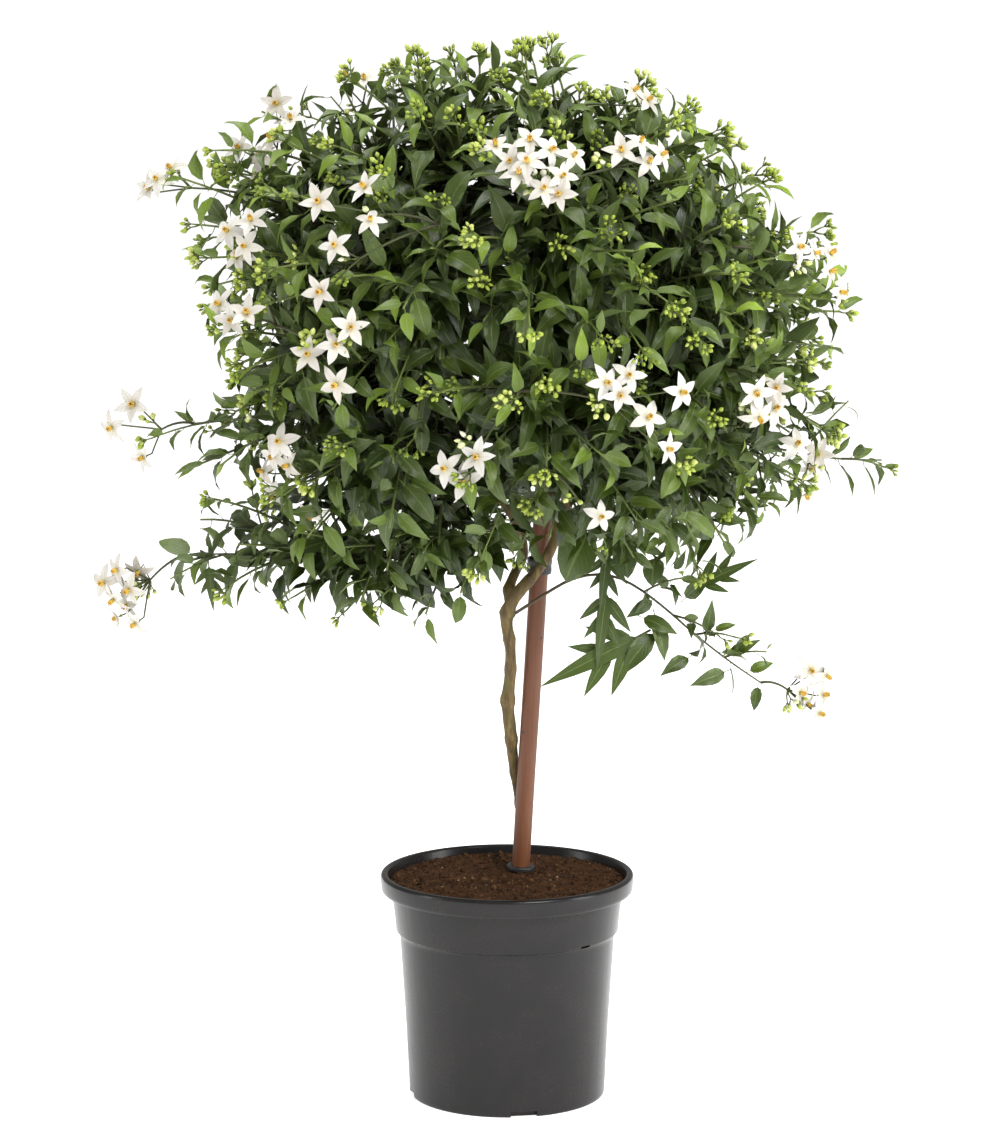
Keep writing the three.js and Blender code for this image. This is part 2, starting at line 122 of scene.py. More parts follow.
class Shape:
    """A small closed mesh of triangles, with a place on its map for each corner."""

    def __init__(self, points, faces, places=None, rim=None):
        self.points = np.asarray(points, float)
        self.faces = np.asarray(faces, int)
        self.places = np.zeros((len(self.faces), 3, 2)) if places is None else np.asarray(places, float)
        self.rim = np.zeros(len(self.points), bool) if rim is None else rim
        a, b, c = (self.points[self.faces[:, k]] for k in range(3))
        if np.einsum("ij,ij->i", a, np.cross(b, c)).sum() < 0:
            self.faces = self.faces[:, ::-1]
            self.places = self.places[:, ::-1]


def several(shapes):
    """Several shapes as one."""
    counts = np.cumsum([0] + [len(s.points) for s in shapes])
    made = Shape.__new__(Shape)
    made.points = np.vstack([s.points for s in shapes])
    made.faces = np.vstack([s.faces + n for s, n in zip(shapes, counts)])
    made.places = np.vstack([s.places for s in shapes])
    made.rim = np.concatenate([s.rim for s in shapes])
    return made


class Batch:
    """Gathers closed shapes into one piece."""

    def __init__(self):
        self.points, self.faces, self.places, self.rims, self.slots = [], [], [], [], []
        self.size = 0

    def add(self, points, faces, places, rim, slot=0):
        self.points.append(points)
        self.faces.append(faces + self.size)
        self.places.append(places)
        self.rims.append(rim)
        self.slots.append(np.full(len(faces), slot))
        self.size += len(points)

    def add_shape(self, shape, slot=0, places=None):
        self.add(shape.points, shape.faces, shape.places if places is None else places, shape.rim, slot)

    def add_copies(self, shape, points, places, slot=0):
        """Copies of a shape: points is (copies, points of the shape, 3), places likewise for its corners."""
        copies, each = points.shape[:2]
        faces = shape.faces[None] + (np.arange(copies) * each)[:, None, None]
        rims = np.tile(shape.rim, copies)
        self.add(points.reshape(-1, 3), faces.reshape(-1, 3), places.reshape(-1, 3, 2), rims, slot)

    def piece(self, name, materials):
        points = np.vstack(self.points)
        faces = np.vstack(self.faces)
        mesh = bpy.data.meshes.new(name)
        mesh.vertices.add(len(points))
        mesh.vertices.foreach_set("co", points.astype(np.float32).ravel())
        mesh.loops.add(faces.size)
        mesh.loops.foreach_set("vertex_index", faces.astype(np.int32).ravel())
        mesh.polygons.add(len(faces))
        mesh.polygons.foreach_set("loop_start", np.arange(0, faces.size, 3, dtype=np.int32))
        mesh.polygons.foreach_set("material_index", np.concatenate(self.slots).astype(np.int32))
        mesh.update(calc_edges=True)
        places = np.vstack(self.places).astype(np.float32)
        mesh.uv_layers.new(name="OFBake").uv.foreach_set("vector", places.ravel())
        mesh.shade_smooth()
        rims = np.concatenate(self.rims)
        if rims.any():
            ends = np.zeros(len(mesh.edges) * 2, np.int32)
            mesh.edges.foreach_get("vertices", ends)
            ends = ends.reshape(-1, 2)
            sharp = mesh.attributes.new("sharp_edge", "BOOLEAN", "EDGE")
            sharp.data.foreach_set("value", rims[ends[:, 0]] & rims[ends[:, 1]])
        for material in materials:
            mesh.materials.append(material)
        return added(name, mesh)


def added(name, data):
    made = bpy.data.objects.new(name, data)
    bpy.context.scene.collection.objects.link(made)
    return made


def ring_faces(low, high, sides):
    """Triangles between two rings of points, from the number of each ring's first point."""
    ring = np.arange(sides)
    nxt = (ring + 1) % sides
    a, b, c, d = low + ring, low + nxt, high + nxt, high + ring
    return [np.stack([a, b, c], 1), np.stack([a, c, d], 1)]


def cap_faces(middle, ring_start, sides, is_first):
    """Triangles from a middle point to a ring, which close a solid at its first end or at its last."""
    ring = np.arange(sides)
    nxt = (ring + 1) % sides
    a, b = (nxt, ring) if is_first else (ring, nxt)
    return np.stack([np.full(sides, middle), ring_start + a, ring_start + b], 1)


def tube(points, radii, sides, squash=None):
    """A closed round tube along a path. Its map runs round it and along it."""
    points = np.asarray(points, float)
    count = len(points)
    radii = np.broadcast_to(np.asarray(radii, float), (count,))
    tangents = unit(np.gradient(points, axis=0))
    normal = unit(np.cross(tangents[0], beside(tangents[0])))
    rings = []
    angles = round_angles(sides)
    for i in range(count):
        normal = unit(normal - tangents[i] * np.dot(normal, tangents[i]))
        across = np.cross(tangents[i], normal)
        spread = radii[i] * (np.ones(sides) if squash is None else squash[i])
        rings.append(points[i] + spread[:, None] * ring_way(angles, normal, across))
    verts = np.vstack(rings + [points[:1], points[-1:]])
    ring = np.arange(sides)
    u0, u1 = ring / sides, (ring + 1) / sides
    faces, places = [], []
    for i in range(count - 1):
        faces += ring_faces(i * sides, (i + 1) * sides, sides)
        v0, v1 = np.full(sides, i / (count - 1)), np.full(sides, (i + 1) / (count - 1))
        corners = [np.stack(place, 1) for place in ((u0, v0), (u1, v0), (u1, v1), (u0, v1))]
        places += [np.stack([corners[k] for k in trio], 1) for trio in ((0, 1, 2), (0, 2, 3))]
    faces.append(cap_faces(count * sides, 0, sides, True))
    faces.append(cap_faces(count * sides + 1, (count - 1) * sides, sides, False))
    for v in (0.0, 1.0):
        places.append(np.stack([np.full((sides, 3), 0.5), np.full((sides, 3), v)], 2))
    return Shape(verts, np.vstack(faces), np.vstack(places))


def ring_way(angles, normal, across):
    return np.cos(angles)[:, None] * normal + np.sin(angles)[:, None] * across


def lathe(profile, sides):
    """A closed solid of revolution from [radius, height] corners, whose first and last are on the axis."""
    profile = np.asarray(profile, float)
    inner = profile[1:-1]
    angles = round_angles(sides)
    verts = np.zeros((len(inner), sides, 3))
    verts[:, :, 0] = inner[:, :1] * np.cos(angles)
    verts[:, :, 1] = inner[:, :1] * np.sin(angles)
    verts[:, :, 2] = inner[:, 1:]
    verts = np.vstack([verts.reshape(-1, 3), [[0, 0, profile[0, 1]], [0, 0, profile[-1, 1]]]])
    rows = len(inner)
    faces = []
    for i in range(rows - 1):
        faces += ring_faces(i * sides, (i + 1) * sides, sides)
    faces.append(cap_faces(rows * sides, 0, sides, True))
    faces.append(cap_faces(rows * sides + 1, (rows - 1) * sides, sides, False))
    return Shape(verts, np.vstack(faces))


def plain_piece(name, shape, material, sharp_angle=40):
    """A shape as a piece with no map of its own, smooth but for its sharp corners."""
    mesh = bpy.data.meshes.new(name)
    mesh.from_pydata(shape.points.tolist(), [], shape.faces.tolist())
    mesh.shade_smooth()
    mesh.set_sharp_from_angle(angle=math.radians(sharp_angle))
    mesh.materials.append(material)
    return added(name, mesh)


def outfitted(piece, slot, *nodes):
    """Every piece rides on the one body and stands for CAD nodes. Its slot is not used."""
    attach(piece, "root")
    if nodes:
        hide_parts(*nodes)
    return piece


# ---- Material nodes ----


class Nodes:
    """A new material whose nodes are made by short calls."""

    def __init__(self, name):
        self.material = bpy.data.materials.new(name)
        self.material.use_nodes = True
        self.tree = self.material.node_tree
        self.shader = self.tree.nodes["Principled BSDF"]

    def link(self, value, socket):
        if isinstance(value, bpy.types.NodeSocket):
            self.tree.links.new(value, socket)
        else:
            socket.default_value = value

    def new(self, kind, **settings):
        node = self.tree.nodes.new(kind)
        for key, value in settings.items():
            setattr(node, key, value)
        return node

    def math(self, operation, a, b=0.5, c=None):
        node = self.new("ShaderNodeMath", operation=operation)
        self.link(a, node.inputs[0])
        self.link(b, node.inputs[1])
        if c is not None:
            self.link(c, node.inputs[2])
        return node.outputs[0]

    def times(self, a, b):
        return self.math("MULTIPLY", a, b)

    def plus(self, a, b):
        return self.math("ADD", a, b)

    def minus(self, a, b):
        return self.math("SUBTRACT", a, b)

    def times_plus(self, a, b, c):
        return self.math("MULTIPLY_ADD", a, b, c)

    def span(self, value, low, high, to_low=0.0, to_high=1.0):
        """value from low to high as a number from to_low to to_high, eased at both ends."""
        node = self.new("ShaderNodeMapRange", interpolation_type="SMOOTHSTEP")
        for socket, item in zip(node.inputs, (value, low, high, to_low, to_high)):
            self.link(item, socket)
        return node.outputs[0]

    def mix(self, share, a, b, blend="MIX"):
        node = self.new("ShaderNodeMix", data_type="RGBA", blend_type=blend)
        self.link(share, node.inputs[0])
        self.link(a, node.inputs[6])
        self.link(b, node.inputs[7])
        return node.outputs[2]

    def ramp(self, value, stops):
        node = self.new("ShaderNodeValToRGB")
        ramp = node.color_ramp
        while len(ramp.elements) < len(stops):
            ramp.elements.new(0.5)
        for element, (place, colour) in zip(ramp.elements, stops):
            element.position = place
            element.color = (*colour, 1)
        self.link(value, node.inputs[0])
        return node.outputs[0]

    def noise(self, scale, detail=4.0, rough=0.55, where=None, stretch=None):
        node = self.new("ShaderNodeTexNoise")
        node.inputs["Scale"].default_value = scale
        node.inputs["Detail"].default_value = detail
        node.inputs["Roughness"].default_value = rough
        vector = where or self.new("ShaderNodeTexCoord").outputs["Object"]
        if stretch is not None:
            mapping = self.new("ShaderNodeMapping")
            mapping.inputs["Scale"].default_value = stretch
            self.link(vector, mapping.inputs["Vector"])
            vector = mapping.outputs[0]
        self.link(vector, node.inputs["Vector"])
        return node.outputs["Fac"]

    def bump(self, height, distance, strength=1.0):
        node = self.new("ShaderNodeBump")
        node.inputs["Distance"].default_value = distance
        node.inputs["Strength"].default_value = strength
        self.link(height, node.inputs["Height"])
        self.link(node.outputs[0], self.shader.inputs["Normal"])

    def finish(self, colour, roughness, **plain):
        self.link(colour, self.shader.inputs["Base Color"])
        self.link(roughness, self.shader.inputs["Roughness"])
        for name, value in plain.items():
            self.shader.inputs[name.replace("_", " ")].default_value = value
        return self.material

    def map_cell(self, columns, rows):
        """The column, row and place within a cell of the piece's map."""
        uv = self.new("ShaderNodeUVMap", uv_map="OFBake").outputs[0]
        split = self.new("ShaderNodeSeparateXYZ")
        self.link(uv, split.inputs[0])
        x = self.math("MULTIPLY", split.outputs[0], float(columns))
        y = self.math("MULTIPLY", split.outputs[1], float(rows))
        return [self.math(kind, value) for kind in ("FLOOR", "FRACT") for value in (x, y)]


CELL_EDGE = 0.04  # the share of a map cell kept clear along each of its sides


def map_places(places, column, row, columns, rows):
    """Places within a shape's own square, moved into one cell of a map. column and row may be arrays."""
    inset = CELL_EDGE + (1 - 2 * CELL_EDGE) * places
    column, row = np.asarray(column, float), np.asarray(row, float)
    u = (column[..., None, None] + inset[..., 0]) / columns
    v = (row[..., None, None] + inset[..., 1]) / rows
    return np.stack([u, v], -1)


# The leaves' map: two rows of tints for the upper sides, from dark to light, and two for the lower sides.
LEAF_COLUMNS, LEAF_ROWS = 8, 4
TINTS = 2 * LEAF_COLUMNS


def leaf_material():
    """Glossy green, paler along the veins, from deep green (old leaves, and painted shade inside the head) to
    yellow-green, and dull underneath.
    """
    n = Nodes("living_leaf")
    column, row, across, along = n.map_cell(LEAF_COLUMNS, LEAF_ROWS)
    below = n.math("GREATER_THAN", row, 1.5)
    odd_row = n.math("MODULO", row, 2.0)
    tint = n.math("DIVIDE", n.plus(column, n.times(odd_row, float(LEAF_COLUMNS))), TINTS - 1.0)
    # The dark stops serve old leaves and the painted shade deep inside the head.
    stops = [
        (0.0, (0.014, 0.026, 0.004)),
        (0.25, (0.030, 0.052, 0.006)),
        (0.5, (0.062, 0.098, 0.010)),
        (0.75, (0.120, 0.185, 0.016)),
        (1.0, (0.240, 0.350, 0.024)),
    ]
    green = n.ramp(tint, stops)
    off_middle = n.math("ABSOLUTE", n.minus(across, 0.5))
    midrib = n.span(off_middle, 0.012, 0.055, 1.0, 0.0)
    slant = n.minus(n.times(along, 9.0), n.times(off_middle, 6.5))
    wave = n.math("ABSOLUTE", n.minus(n.math("FRACT", slant), 0.5))
    side_vein = n.times(n.span(wave, 0.0, 0.11, 1.0, 0.0), n.span(off_middle, 0.30, 0.48, 1.0, 0.0))
    veins = n.math("MAXIMUM", midrib, n.times(side_vein, 0.45))
    paler = n.mix(0.5, green, (0.26, 0.33, 0.09, 1))
    colour = n.mix(n.times(veins, 0.55), green, paler)
    uv = n.new("ShaderNodeUVMap", uv_map="OFBake").outputs[0]
    blotch = n.noise(60.0, 3.0, 0.6, where=uv)
    darker = n.mix(1.0, colour, (0.6, 0.68, 0.5, 1), "MULTIPLY")
    colour = n.mix(n.span(blotch, 0.35, 0.75, 0.0, 0.35), colour, darker)
    margin = n.span(off_middle, 0.44, 0.5, 0.0, 0.5)
    colour = n.mix(margin, colour, n.mix(1.0, colour, (0.75, 0.7, 0.5, 1), "MULTIPLY"))
    underside = n.mix(0.45, colour, (0.15, 0.20, 0.075, 1))
    colour = n.mix(below, colour, underside)
    roughness = n.plus(n.times(below, 0.22), n.times_plus(blotch, 0.14, 0.32))
    relief = n.minus(n.times(blotch, 0.25), veins)
    n.bump(relief, 0.0003, 0.6)
    return n.finish(colour, roughness, Specular_IOR_Level=0.45)


def twig_material():
    """From woody brown at the thick end to fresh green at the tip, in streaks."""
    n = Nodes("green_twig")
    uv = n.new("ShaderNodeUVMap", uv_map="OFBake").outputs[0]
    split = n.new("ShaderNodeSeparateXYZ")
    n.link(uv, split.inputs[0])
    streak = n.noise(9.0, 4.0, 0.6, where=uv, stretch=(4, 12, 1))
    age = n.times_plus(streak, 0.25, n.minus(split.outputs[1], 0.12))
    stops = [
        (0.0, (0.060, 0.038, 0.014)),
        (0.35, (0.042, 0.036, 0.012)),
        (0.7, (0.050, 0.070, 0.014)),
        (1.0, (0.140, 0.190, 0.028)),
    ]
    n.bump(streak, 0.0004, 0.7)
    return n.finish(n.ramp(age, stops), n.times_plus(streak, 0.2, 0.45))


def bark_material():
    n = Nodes("olive_bark")
    fissure = n.noise(260.0, 6.0, 0.65, stretch=(1, 1, 0.22))
    patch = n.noise(55.0, 4.0, 0.6)
    stops = [
        (0.25, (0.024, 0.014, 0.005)),
        (0.42, (0.080, 0.048, 0.014)),
        (0.55, (0.150, 0.098, 0.028)),
        (0.75, (0.270, 0.185, 0.070)),
    ]
    colour = n.ramp(fissure, stops)
    colour = n.mix(n.span(patch, 0.42, 0.68, 0.0, 0.55), colour, (0.085, 0.078, 0.016, 1))
    n.bump(n.plus(fissure, n.times(patch, 0.6)), 0.0012, 0.8)
    return n.finish(colour, n.times_plus(fissure, 0.25, 0.55))


def cane_material():
    """Stained wood: long fine grain in red-brown, with small dark knots."""
    n = Nodes("stained_cane")
    grain = n.noise(420.0, 5.0, 0.6, stretch=(1, 1, 0.035))
    broad = n.noise(70.0, 3.0, 0.5, stretch=(1, 1, 0.12))
    stops = [
        (0.2, (0.070, 0.020, 0.006)),
        (0.5, (0.140, 0.044, 0.013)),
        (0.8, (0.215, 0.080, 0.027)),
    ]
    colour = n.ramp(n.plus(n.times(grain, 0.5), n.times(broad, 0.5)), stops)
    cells = n.new("ShaderNodeTexVoronoi")
    cells.inputs["Scale"].default_value = 38.0
    n.link(n.new("ShaderNodeTexCoord").outputs["Object"], cells.inputs["Vector"])
    knot = n.span(cells.outputs["Distance"], 0.03, 0.075, 1.0, 0.0)
    colour = n.mix(n.times(knot, 0.85), colour, (0.035, 0.014, 0.007, 1))
    n.bump(n.minus(grain, knot), 0.0005, 0.6)
    return n.finish(colour, n.times_plus(grain, 0.2, 0.42))


def soil_material():
    n = Nodes("peat_compost")
    fine = n.noise(900.0, 6.0, 0.7)
    broad = n.noise(90.0, 4.0, 0.6)
    stops = [
        (0.25, (0.012, 0.006, 0.003)),
        (0.45, (0.040, 0.018, 0.008)),
        (0.6, (0.088, 0.040, 0.016)),
        (0.78, (0.185, 0.095, 0.040)),
    ]
    colour = n.ramp(n.times_plus(broad, 0.5, n.times(fine, 0.55)), stops)
    n.bump(fine, 0.0012, 1.0)
    return n.finish(colour, 0.92, Specular_IOR_Level=0.15)


CRUMB_SHADES = 8


def crumb_material():
    """Crumbs of peat and bark chips. A crumb's column on the map sets how light it is."""
    n = Nodes("peat_crumbs")
    column, *_ = n.map_cell(CRUMB_SHADES, 1)
    fine = n.noise(700.0, 5.0, 0.7)
    shade = n.times_plus(fine, 0.35, n.math("DIVIDE", column, 10.0))
    stops = [
        (0.1, (0.014, 0.007, 0.003)),
        (0.5, (0.060, 0.027, 0.011)),
        (0.8, (0.150, 0.075, 0.032)),
        (1.0, (0.42, 0.32, 0.20)),
    ]
    n.bump(fine, 0.0006, 0.8)
    return n.finish(n.ramp(shade, stops), 0.9, Specular_IOR_Level=0.15)


def pot_material():
    """Black moulded plastic: a soft gloss, faint vertical flow lines and a little dust."""
    n = Nodes("black_pot_plastic")
    flow = n.noise(120.0, 4.0, 0.6, stretch=(1, 1, 0.02))
    haze = n.noise(28.0, 5.0, 0.6)
    dust = n.noise(700.0, 3.0, 0.7)
    colour = n.mix(n.span(haze, 0.35, 0.75, 0.0, 0.6), (0.011, 0.010, 0.010, 1), (0.018, 0.016, 0.0155, 1))
    colour = n.mix(n.span(dust, 0.62, 0.8, 0.0, 0.25), colour, (0.07, 0.062, 0.055, 1))
    roughness = n.times_plus(haze, 0.12, n.times_plus(dust, 0.08, 0.16))
    n.bump(n.times_plus(dust, 0.12, flow), 0.0003, 0.5)
    return n.finish(colour, roughness, Specular_IOR_Level=0.28)


def rubber_material():
    n = Nodes("black_rubber")
    fine = n.noise(900.0, 4.0, 0.6)
    colour = n.mix(n.span(fine, 0.3, 0.8), (0.012, 0.012, 0.013, 1), (0.035, 0.034, 0.034, 1))
    n.bump(fine, 0.0002, 0.6)
    return n.finish(colour, n.times_plus(fine, 0.2, 0.35))


# The flowers' map: a petal's or a bud's column is its tint. Calyx and style are on the second row.
FLOWER_COLUMNS, FLOWER_ROWS = 8, 2


def flower_places(places, column, row=0):
    return map_places(places, column, row, FLOWER_COLUMNS, FLOWER_ROWS)


def flower_column(share):
    """The map column for a tint from 0 to 1."""
    return int(np.clip(round(share * (FLOWER_COLUMNS - 1)), 0, FLOWER_COLUMNS - 1))


def petal_material():
    """White, faintly veined, creamier towards the base. A petal's column sets how warm it is."""
    n = Nodes("white_petal")
    column, _, across, along = n.map_cell(FLOWER_COLUMNS, FLOWER_ROWS)
    off_middle = n.math("ABSOLUTE", n.minus(across, 0.5))
    warm = n.math("DIVIDE", column, FLOWER_COLUMNS - 1.0)
    white = n.mix(warm, (0.61, 0.595, 0.555, 1), (0.53, 0.475, 0.40, 1))
    base = n.span(along, 0.05, 0.42, 1.0, 0.0)
    colour = n.mix(n.times(base, 0.45), white, (0.48, 0.46, 0.23, 1))
    vein = n.times(n.span(off_middle, 0.01, 0.06, 1.0, 0.0), n.span(along, 0.75, 0.95, 1.0, 0.0))
    colour = n.mix(n.times(vein, 0.3), colour, (0.44, 0.41, 0.30, 1))
    furrow = n.math("SINE", n.times(across, 44.0))
    n.bump(n.times_plus(furrow, 0.25, n.times(vein, -1.0)), 0.0002, 0.5)
    return n.finish(colour, 0.5)


def anther_material():
    n = Nodes("yellow_anther")
    *_, along = n.map_cell(FLOWER_COLUMNS, FLOWER_ROWS)
    stops = [(0.0, (0.40, 0.30, 0.05)), (0.5, (0.66, 0.43, 0.06)), (1.0, (0.55, 0.26, 0.04))]
    pollen = n.noise(1500.0, 3.0, 0.6)
    n.bump(pollen, 0.0002, 0.7)
    return n.finish(n.ramp(along, stops), n.times_plus(pollen, 0.2, 0.5))


def bud_material():
    """Buds: green at the calyx, the body from fresh green to cream by the bud's column."""
    n = Nodes("flower_bud")
    column, _, across, along = n.map_cell(FLOWER_COLUMNS, FLOWER_ROWS)
    age = n.math("DIVIDE", column, FLOWER_COLUMNS - 1.0)
    stops = [
        (0.0, (0.170, 0.240, 0.020)),
        (0.45, (0.330, 0.410, 0.045)),
        (0.75, (0.560, 0.600, 0.200)),
        (1.0, (0.780, 0.760, 0.580)),
    ]
    body = n.ramp(age, stops)
    calyx = n.span(along, 0.30, 0.42, 1.0, 0.0)
    colour = n.mix(calyx, body, (0.110, 0.160, 0.018, 1))
    ridge = n.math("SINE", n.times(across, 5 * 2 * math.pi))
    n.bump(ridge, 0.0002, 0.5)
    return n.finish(colour, n.times_plus(ridge, 0.03, 0.42))


def floor_material():
    n = Nodes("studio_floor")
    fine = n.noise(3.0, 2.0, 0.5)
    n.shader.inputs["Emission Color"].default_value = (1.0, 1.0, 1.0, 1)
    return n.finish(n.mix(fine, (0.90, 0.90, 0.90, 1), (0.93, 0.93, 0.93, 1)), 0.9, Emission_Strength=0.74)


# ---- Leaves ----

STATIONS = np.array([0.09, 0.26, 0.46, 0.67, 0.87])
ALL_STATIONS = np.concatenate([[0], STATIONS, [1]])
ACROSS = np.linspace(-1, 1, 5)
MIDRIB_SINK = 0.35


def blade_faces(rows, is_upper):
    """Triangles, and their places on the map, between a blade's base, its rows of points and its tip."""
    faces, places = [], []
    grid = [[0] * 5] + rows + [[1] * 5]
    for i in range(len(grid) - 1):
        for j in range(4):
            corners = [(i, j), (i + 1, j), (i + 1, j + 1), (i, j + 1)]
            index = [grid[a][b] for a, b in corners]
            place = [((ACROSS[b] + 1) / 2, ALL_STATIONS[a]) for a, b in corners]
            if not is_upper:
                index, place = index[::-1], place[::-1]
            for trio in ((0, 1, 2), (0, 2, 3)):
                face = [index[k] for k in trio]
                if len(set(face)) == 3:
                    faces.append(face)
                    places.append([place[k] for k in trio])
    return faces, places


def blade(
    width, bend, lift=0.1, fold=0.25, ripple=0.0, twist=0.0, thickness=0.010, start=0.0, blunt=0.7, taper=1.15
):
    """A thin closed leaf or petal of length 1 along +X, its face up. It lifts from its base and bends down
    towards its tip. width is its greatest half width, and blunt and taper shape its base and its tip."""
    steps = 60
    fine = np.linspace(0, 1, steps)
    angle = lift - bend * fine**1.3
    step = (1 - start) / (steps - 1)
    x = start + np.concatenate([[0], np.cumsum(np.cos(angle[:-1]) * step)])
    z = np.concatenate([[0], np.cumsum(np.sin(angle[:-1]) * step)])
    fullest = blunt / (blunt + taper)
    greatest = fullest**blunt * (1 - fullest) ** taper
    points = [(x[0], 0, z[0]), (x[-1], 0, z[-1])]
    upper, lower = [], []
    for s in STATIONS:
        half = width * (s**blunt * (1 - s) ** taper) / greatest
        pitch = np.interp(s, fine, angle)
        normal = np.array([-math.sin(pitch), 0, math.cos(pitch)])
        middle = np.array([np.interp(s, fine, x), 0, np.interp(s, fine, z)])
        side = np.array([0, math.cos(twist * s), 0]) + normal * math.sin(twist * s)
        row_up, row_down = [], []
        for v in ACROSS:
            raise_by = fold * abs(v) * half + ripple * half * math.sin(9 * s + 2 * v) * v * v
            body = 0.5 * thickness * (1 - v * v)
            sink = MIDRIB_SINK * thickness if v == 0 else 0
            place = middle + side * v * half + normal * raise_by
            row_up.append(len(points))
            points.append(place + normal * (body - sink))
            row_down.append(row_up[-1])
            if abs(v) < 1:
                row_down[-1] = len(points)
                points.append(place - normal * (body + sink))
        upper.append(row_up)
        lower.append(row_down)
    rim = np.zeros(len(points), bool)
    rim[[0, 1] + [i for row in upper for i in (row[0], row[-1])]] = True
    up_faces, up_places = blade_faces(upper, True)
    low_faces, low_places = blade_faces(lower, False)
    whole = Shape(points, up_faces + low_faces, up_places + low_places, rim)
    whole.lower = np.arange(len(whole.faces)) >= len(up_faces)
    return whole


def with_stalk(leaf, start, radius):
    """A leaf with its stalk, a thin tube from the origin to the leaf's base."""
    path = np.array([(0, 0, -0.004), (start * 1.08, 0, 0.004)])
    stalk = tube(path, [radius * 1.2, radius * 0.9], 3)
    stalk.places = np.stack([np.full(stalk.places.shape[:2], 0.5), stalk.places[..., 1] * 0.1], -1)
    made = several([leaf, stalk])
    made.lower = np.concatenate([leaf.lower, np.zeros(len(stalk.faces), bool)])
    return made


def moved(shape, scale, turn, at):
    """A copy of a shape, scaled, turned about +Z and moved."""
    c, s = math.cos(turn), math.sin(turn)
    matrix = np.array([[c, -s, 0], [s, c, 0], [0, 0, 1]])
    made = Shape.__new__(Shape)
    made.points = (shape.points * scale) @ matrix.T + np.asarray(at)
    made.faces, made.places, made.rim = shape.faces, shape.places, shape.rim
    made.lower = shape.lower
    return made


def lobed(bend):
    """A leaf cut into a long end lobe and two pairs of side lobes that point forward."""
    main = blade(0.085, bend, fold=0.12, start=0.12, ripple=0.05, blunt=0.5)
    side = blade(0.14, bend * 0.6, fold=0.1, thickness=0.02, blunt=0.6)
    lobes = [main]
    for at, size, turn in ((0.17, 0.46, 0.80), (0.36, 0.40, 0.62)):
        for way in (1, -1):
            base = (at, 0, 0.002 * way - 0.3 * bend * at * at)
            lobes.append(moved(side, size * (1 + 0.1 * way), way * turn, base))
    made = several(lobes)
    made.lower = np.concatenate([lobe.lower for lobe in lobes])
    return with_stalk(made, 0.14, 0.012)


def leaf_kinds():
    """Lanceolate leaves of differing curl first, then broad ones, then lobed ones."""
    kinds = []
    for i in range(10):
        leaf = blade(
            0.140 + 0.011 * (i % 4),
            0.55 + 0.13 * i,
            lift=0.38,
            fold=0.18 + 0.09 * (i % 3),
            ripple=0.10 + 0.12 * (i % 3),
            twist=0.55 * math.sin(2.1 * i),
            start=0.15,
            taper=1.3,
        )
        kinds.append(with_stalk(leaf, 0.15, 0.010))
    for i in range(3):
        leaf = blade(
            0.27 + 0.02 * i,
            0.3 + 0.2 * i,
            lift=0.15,
            fold=0.1,
            ripple=0.06,
            start=0.14,
            blunt=0.6,
            taper=0.85,
        )
        kinds.append(with_stalk(leaf, 0.14, 0.010))
    for i in range(3):
        kinds.append(lobed(0.25 + 0.2 * i))
    return kinds


LANCEOLATE = range(10)


class Foliage:
    """The leaves of one part of the head, gathered as rows and made at the end."""

    def __init__(self):
        self.rows = []

    def add(self, at, way, face, length, width, tint, kind):
        self.rows.append((at, way, face, length, width, tint, kind))

    def piece(self, name, kinds, material):
        batch = Batch()
        for k, shape in enumerate(kinds):
            mine = [row[:6] for row in self.rows if row[6] == k]
            if not mine:
                continue
            at, way, face, length, width, tint = (np.array(values) for values in zip(*mine))
            points = posed(shape.points, at, way, face, length, width)
            column, row = tint % LEAF_COLUMNS, tint // LEAF_COLUMNS
            up = map_places(shape.places, column, row, LEAF_COLUMNS, LEAF_ROWS)
            down = map_places(shape.places, column, row + 2, LEAF_COLUMNS, LEAF_ROWS)
            batch.add_copies(shape, points, np.where(shape.lower[None, :, None, None], down, up))
        return batch.piece(name, [material])


def posed(points, at, way, face, length, width):
    """Copies of points, the +X of each along way and its +Z towards face."""
    x = unit(way)
    z = unit(face - x * np.sum(face * x, axis=-1, keepdims=True))
    y = np.cross(z, x)
    stretch = np.stack([np.ones_like(width), width, np.ones_like(width)], -1)
    local = points[None] * length[:, None, None] * stretch[:, None, :]
    along, across, up = (local[..., k : k + 1] * axis[:, None] for k, axis in enumerate((x, y, z)))
    return at[:, None] + along + across + up


def posed_once(points, at, way, face, length):
    """One copy of points, at its full width."""
    return posed(points, at[None], way[None], face[None], np.array([length]), np.array([1.0]))[0]


# ---- Stems from the CAD frame ----


def cross_sections(node, count):
    """The middle and mean radius of a rising stem's CAD solid at evenly spaced heights."""
    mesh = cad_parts[node].data
    co = np.array([v.co for v in mesh.vertices])
    ends = np.array([e.vertices for e in mesh.edges])
    low, high = co[:, 2].min(), co[:, 2].max()
    middles, radii = [], []
    for height in np.linspace(low + 1 * MM, high - 1 * MM, count):
        a, b = co[ends[:, 0]], co[ends[:, 1]]
        crossing = (a[:, 2] - height) * (b[:, 2] - height) < 0
        a, b = a[crossing], b[crossing]
        share = ((height - a[:, 2]) / (b[:, 2] - a[:, 2]))[:, None]
        cut = a + share * (b - a)
        middle = 0.5 * (cut.min(0) + cut.max(0))
        middles.append(middle)
        radii.append(np.linalg.norm(cut - middle, axis=1).min())
    return np.array(middles), np.array(radii)


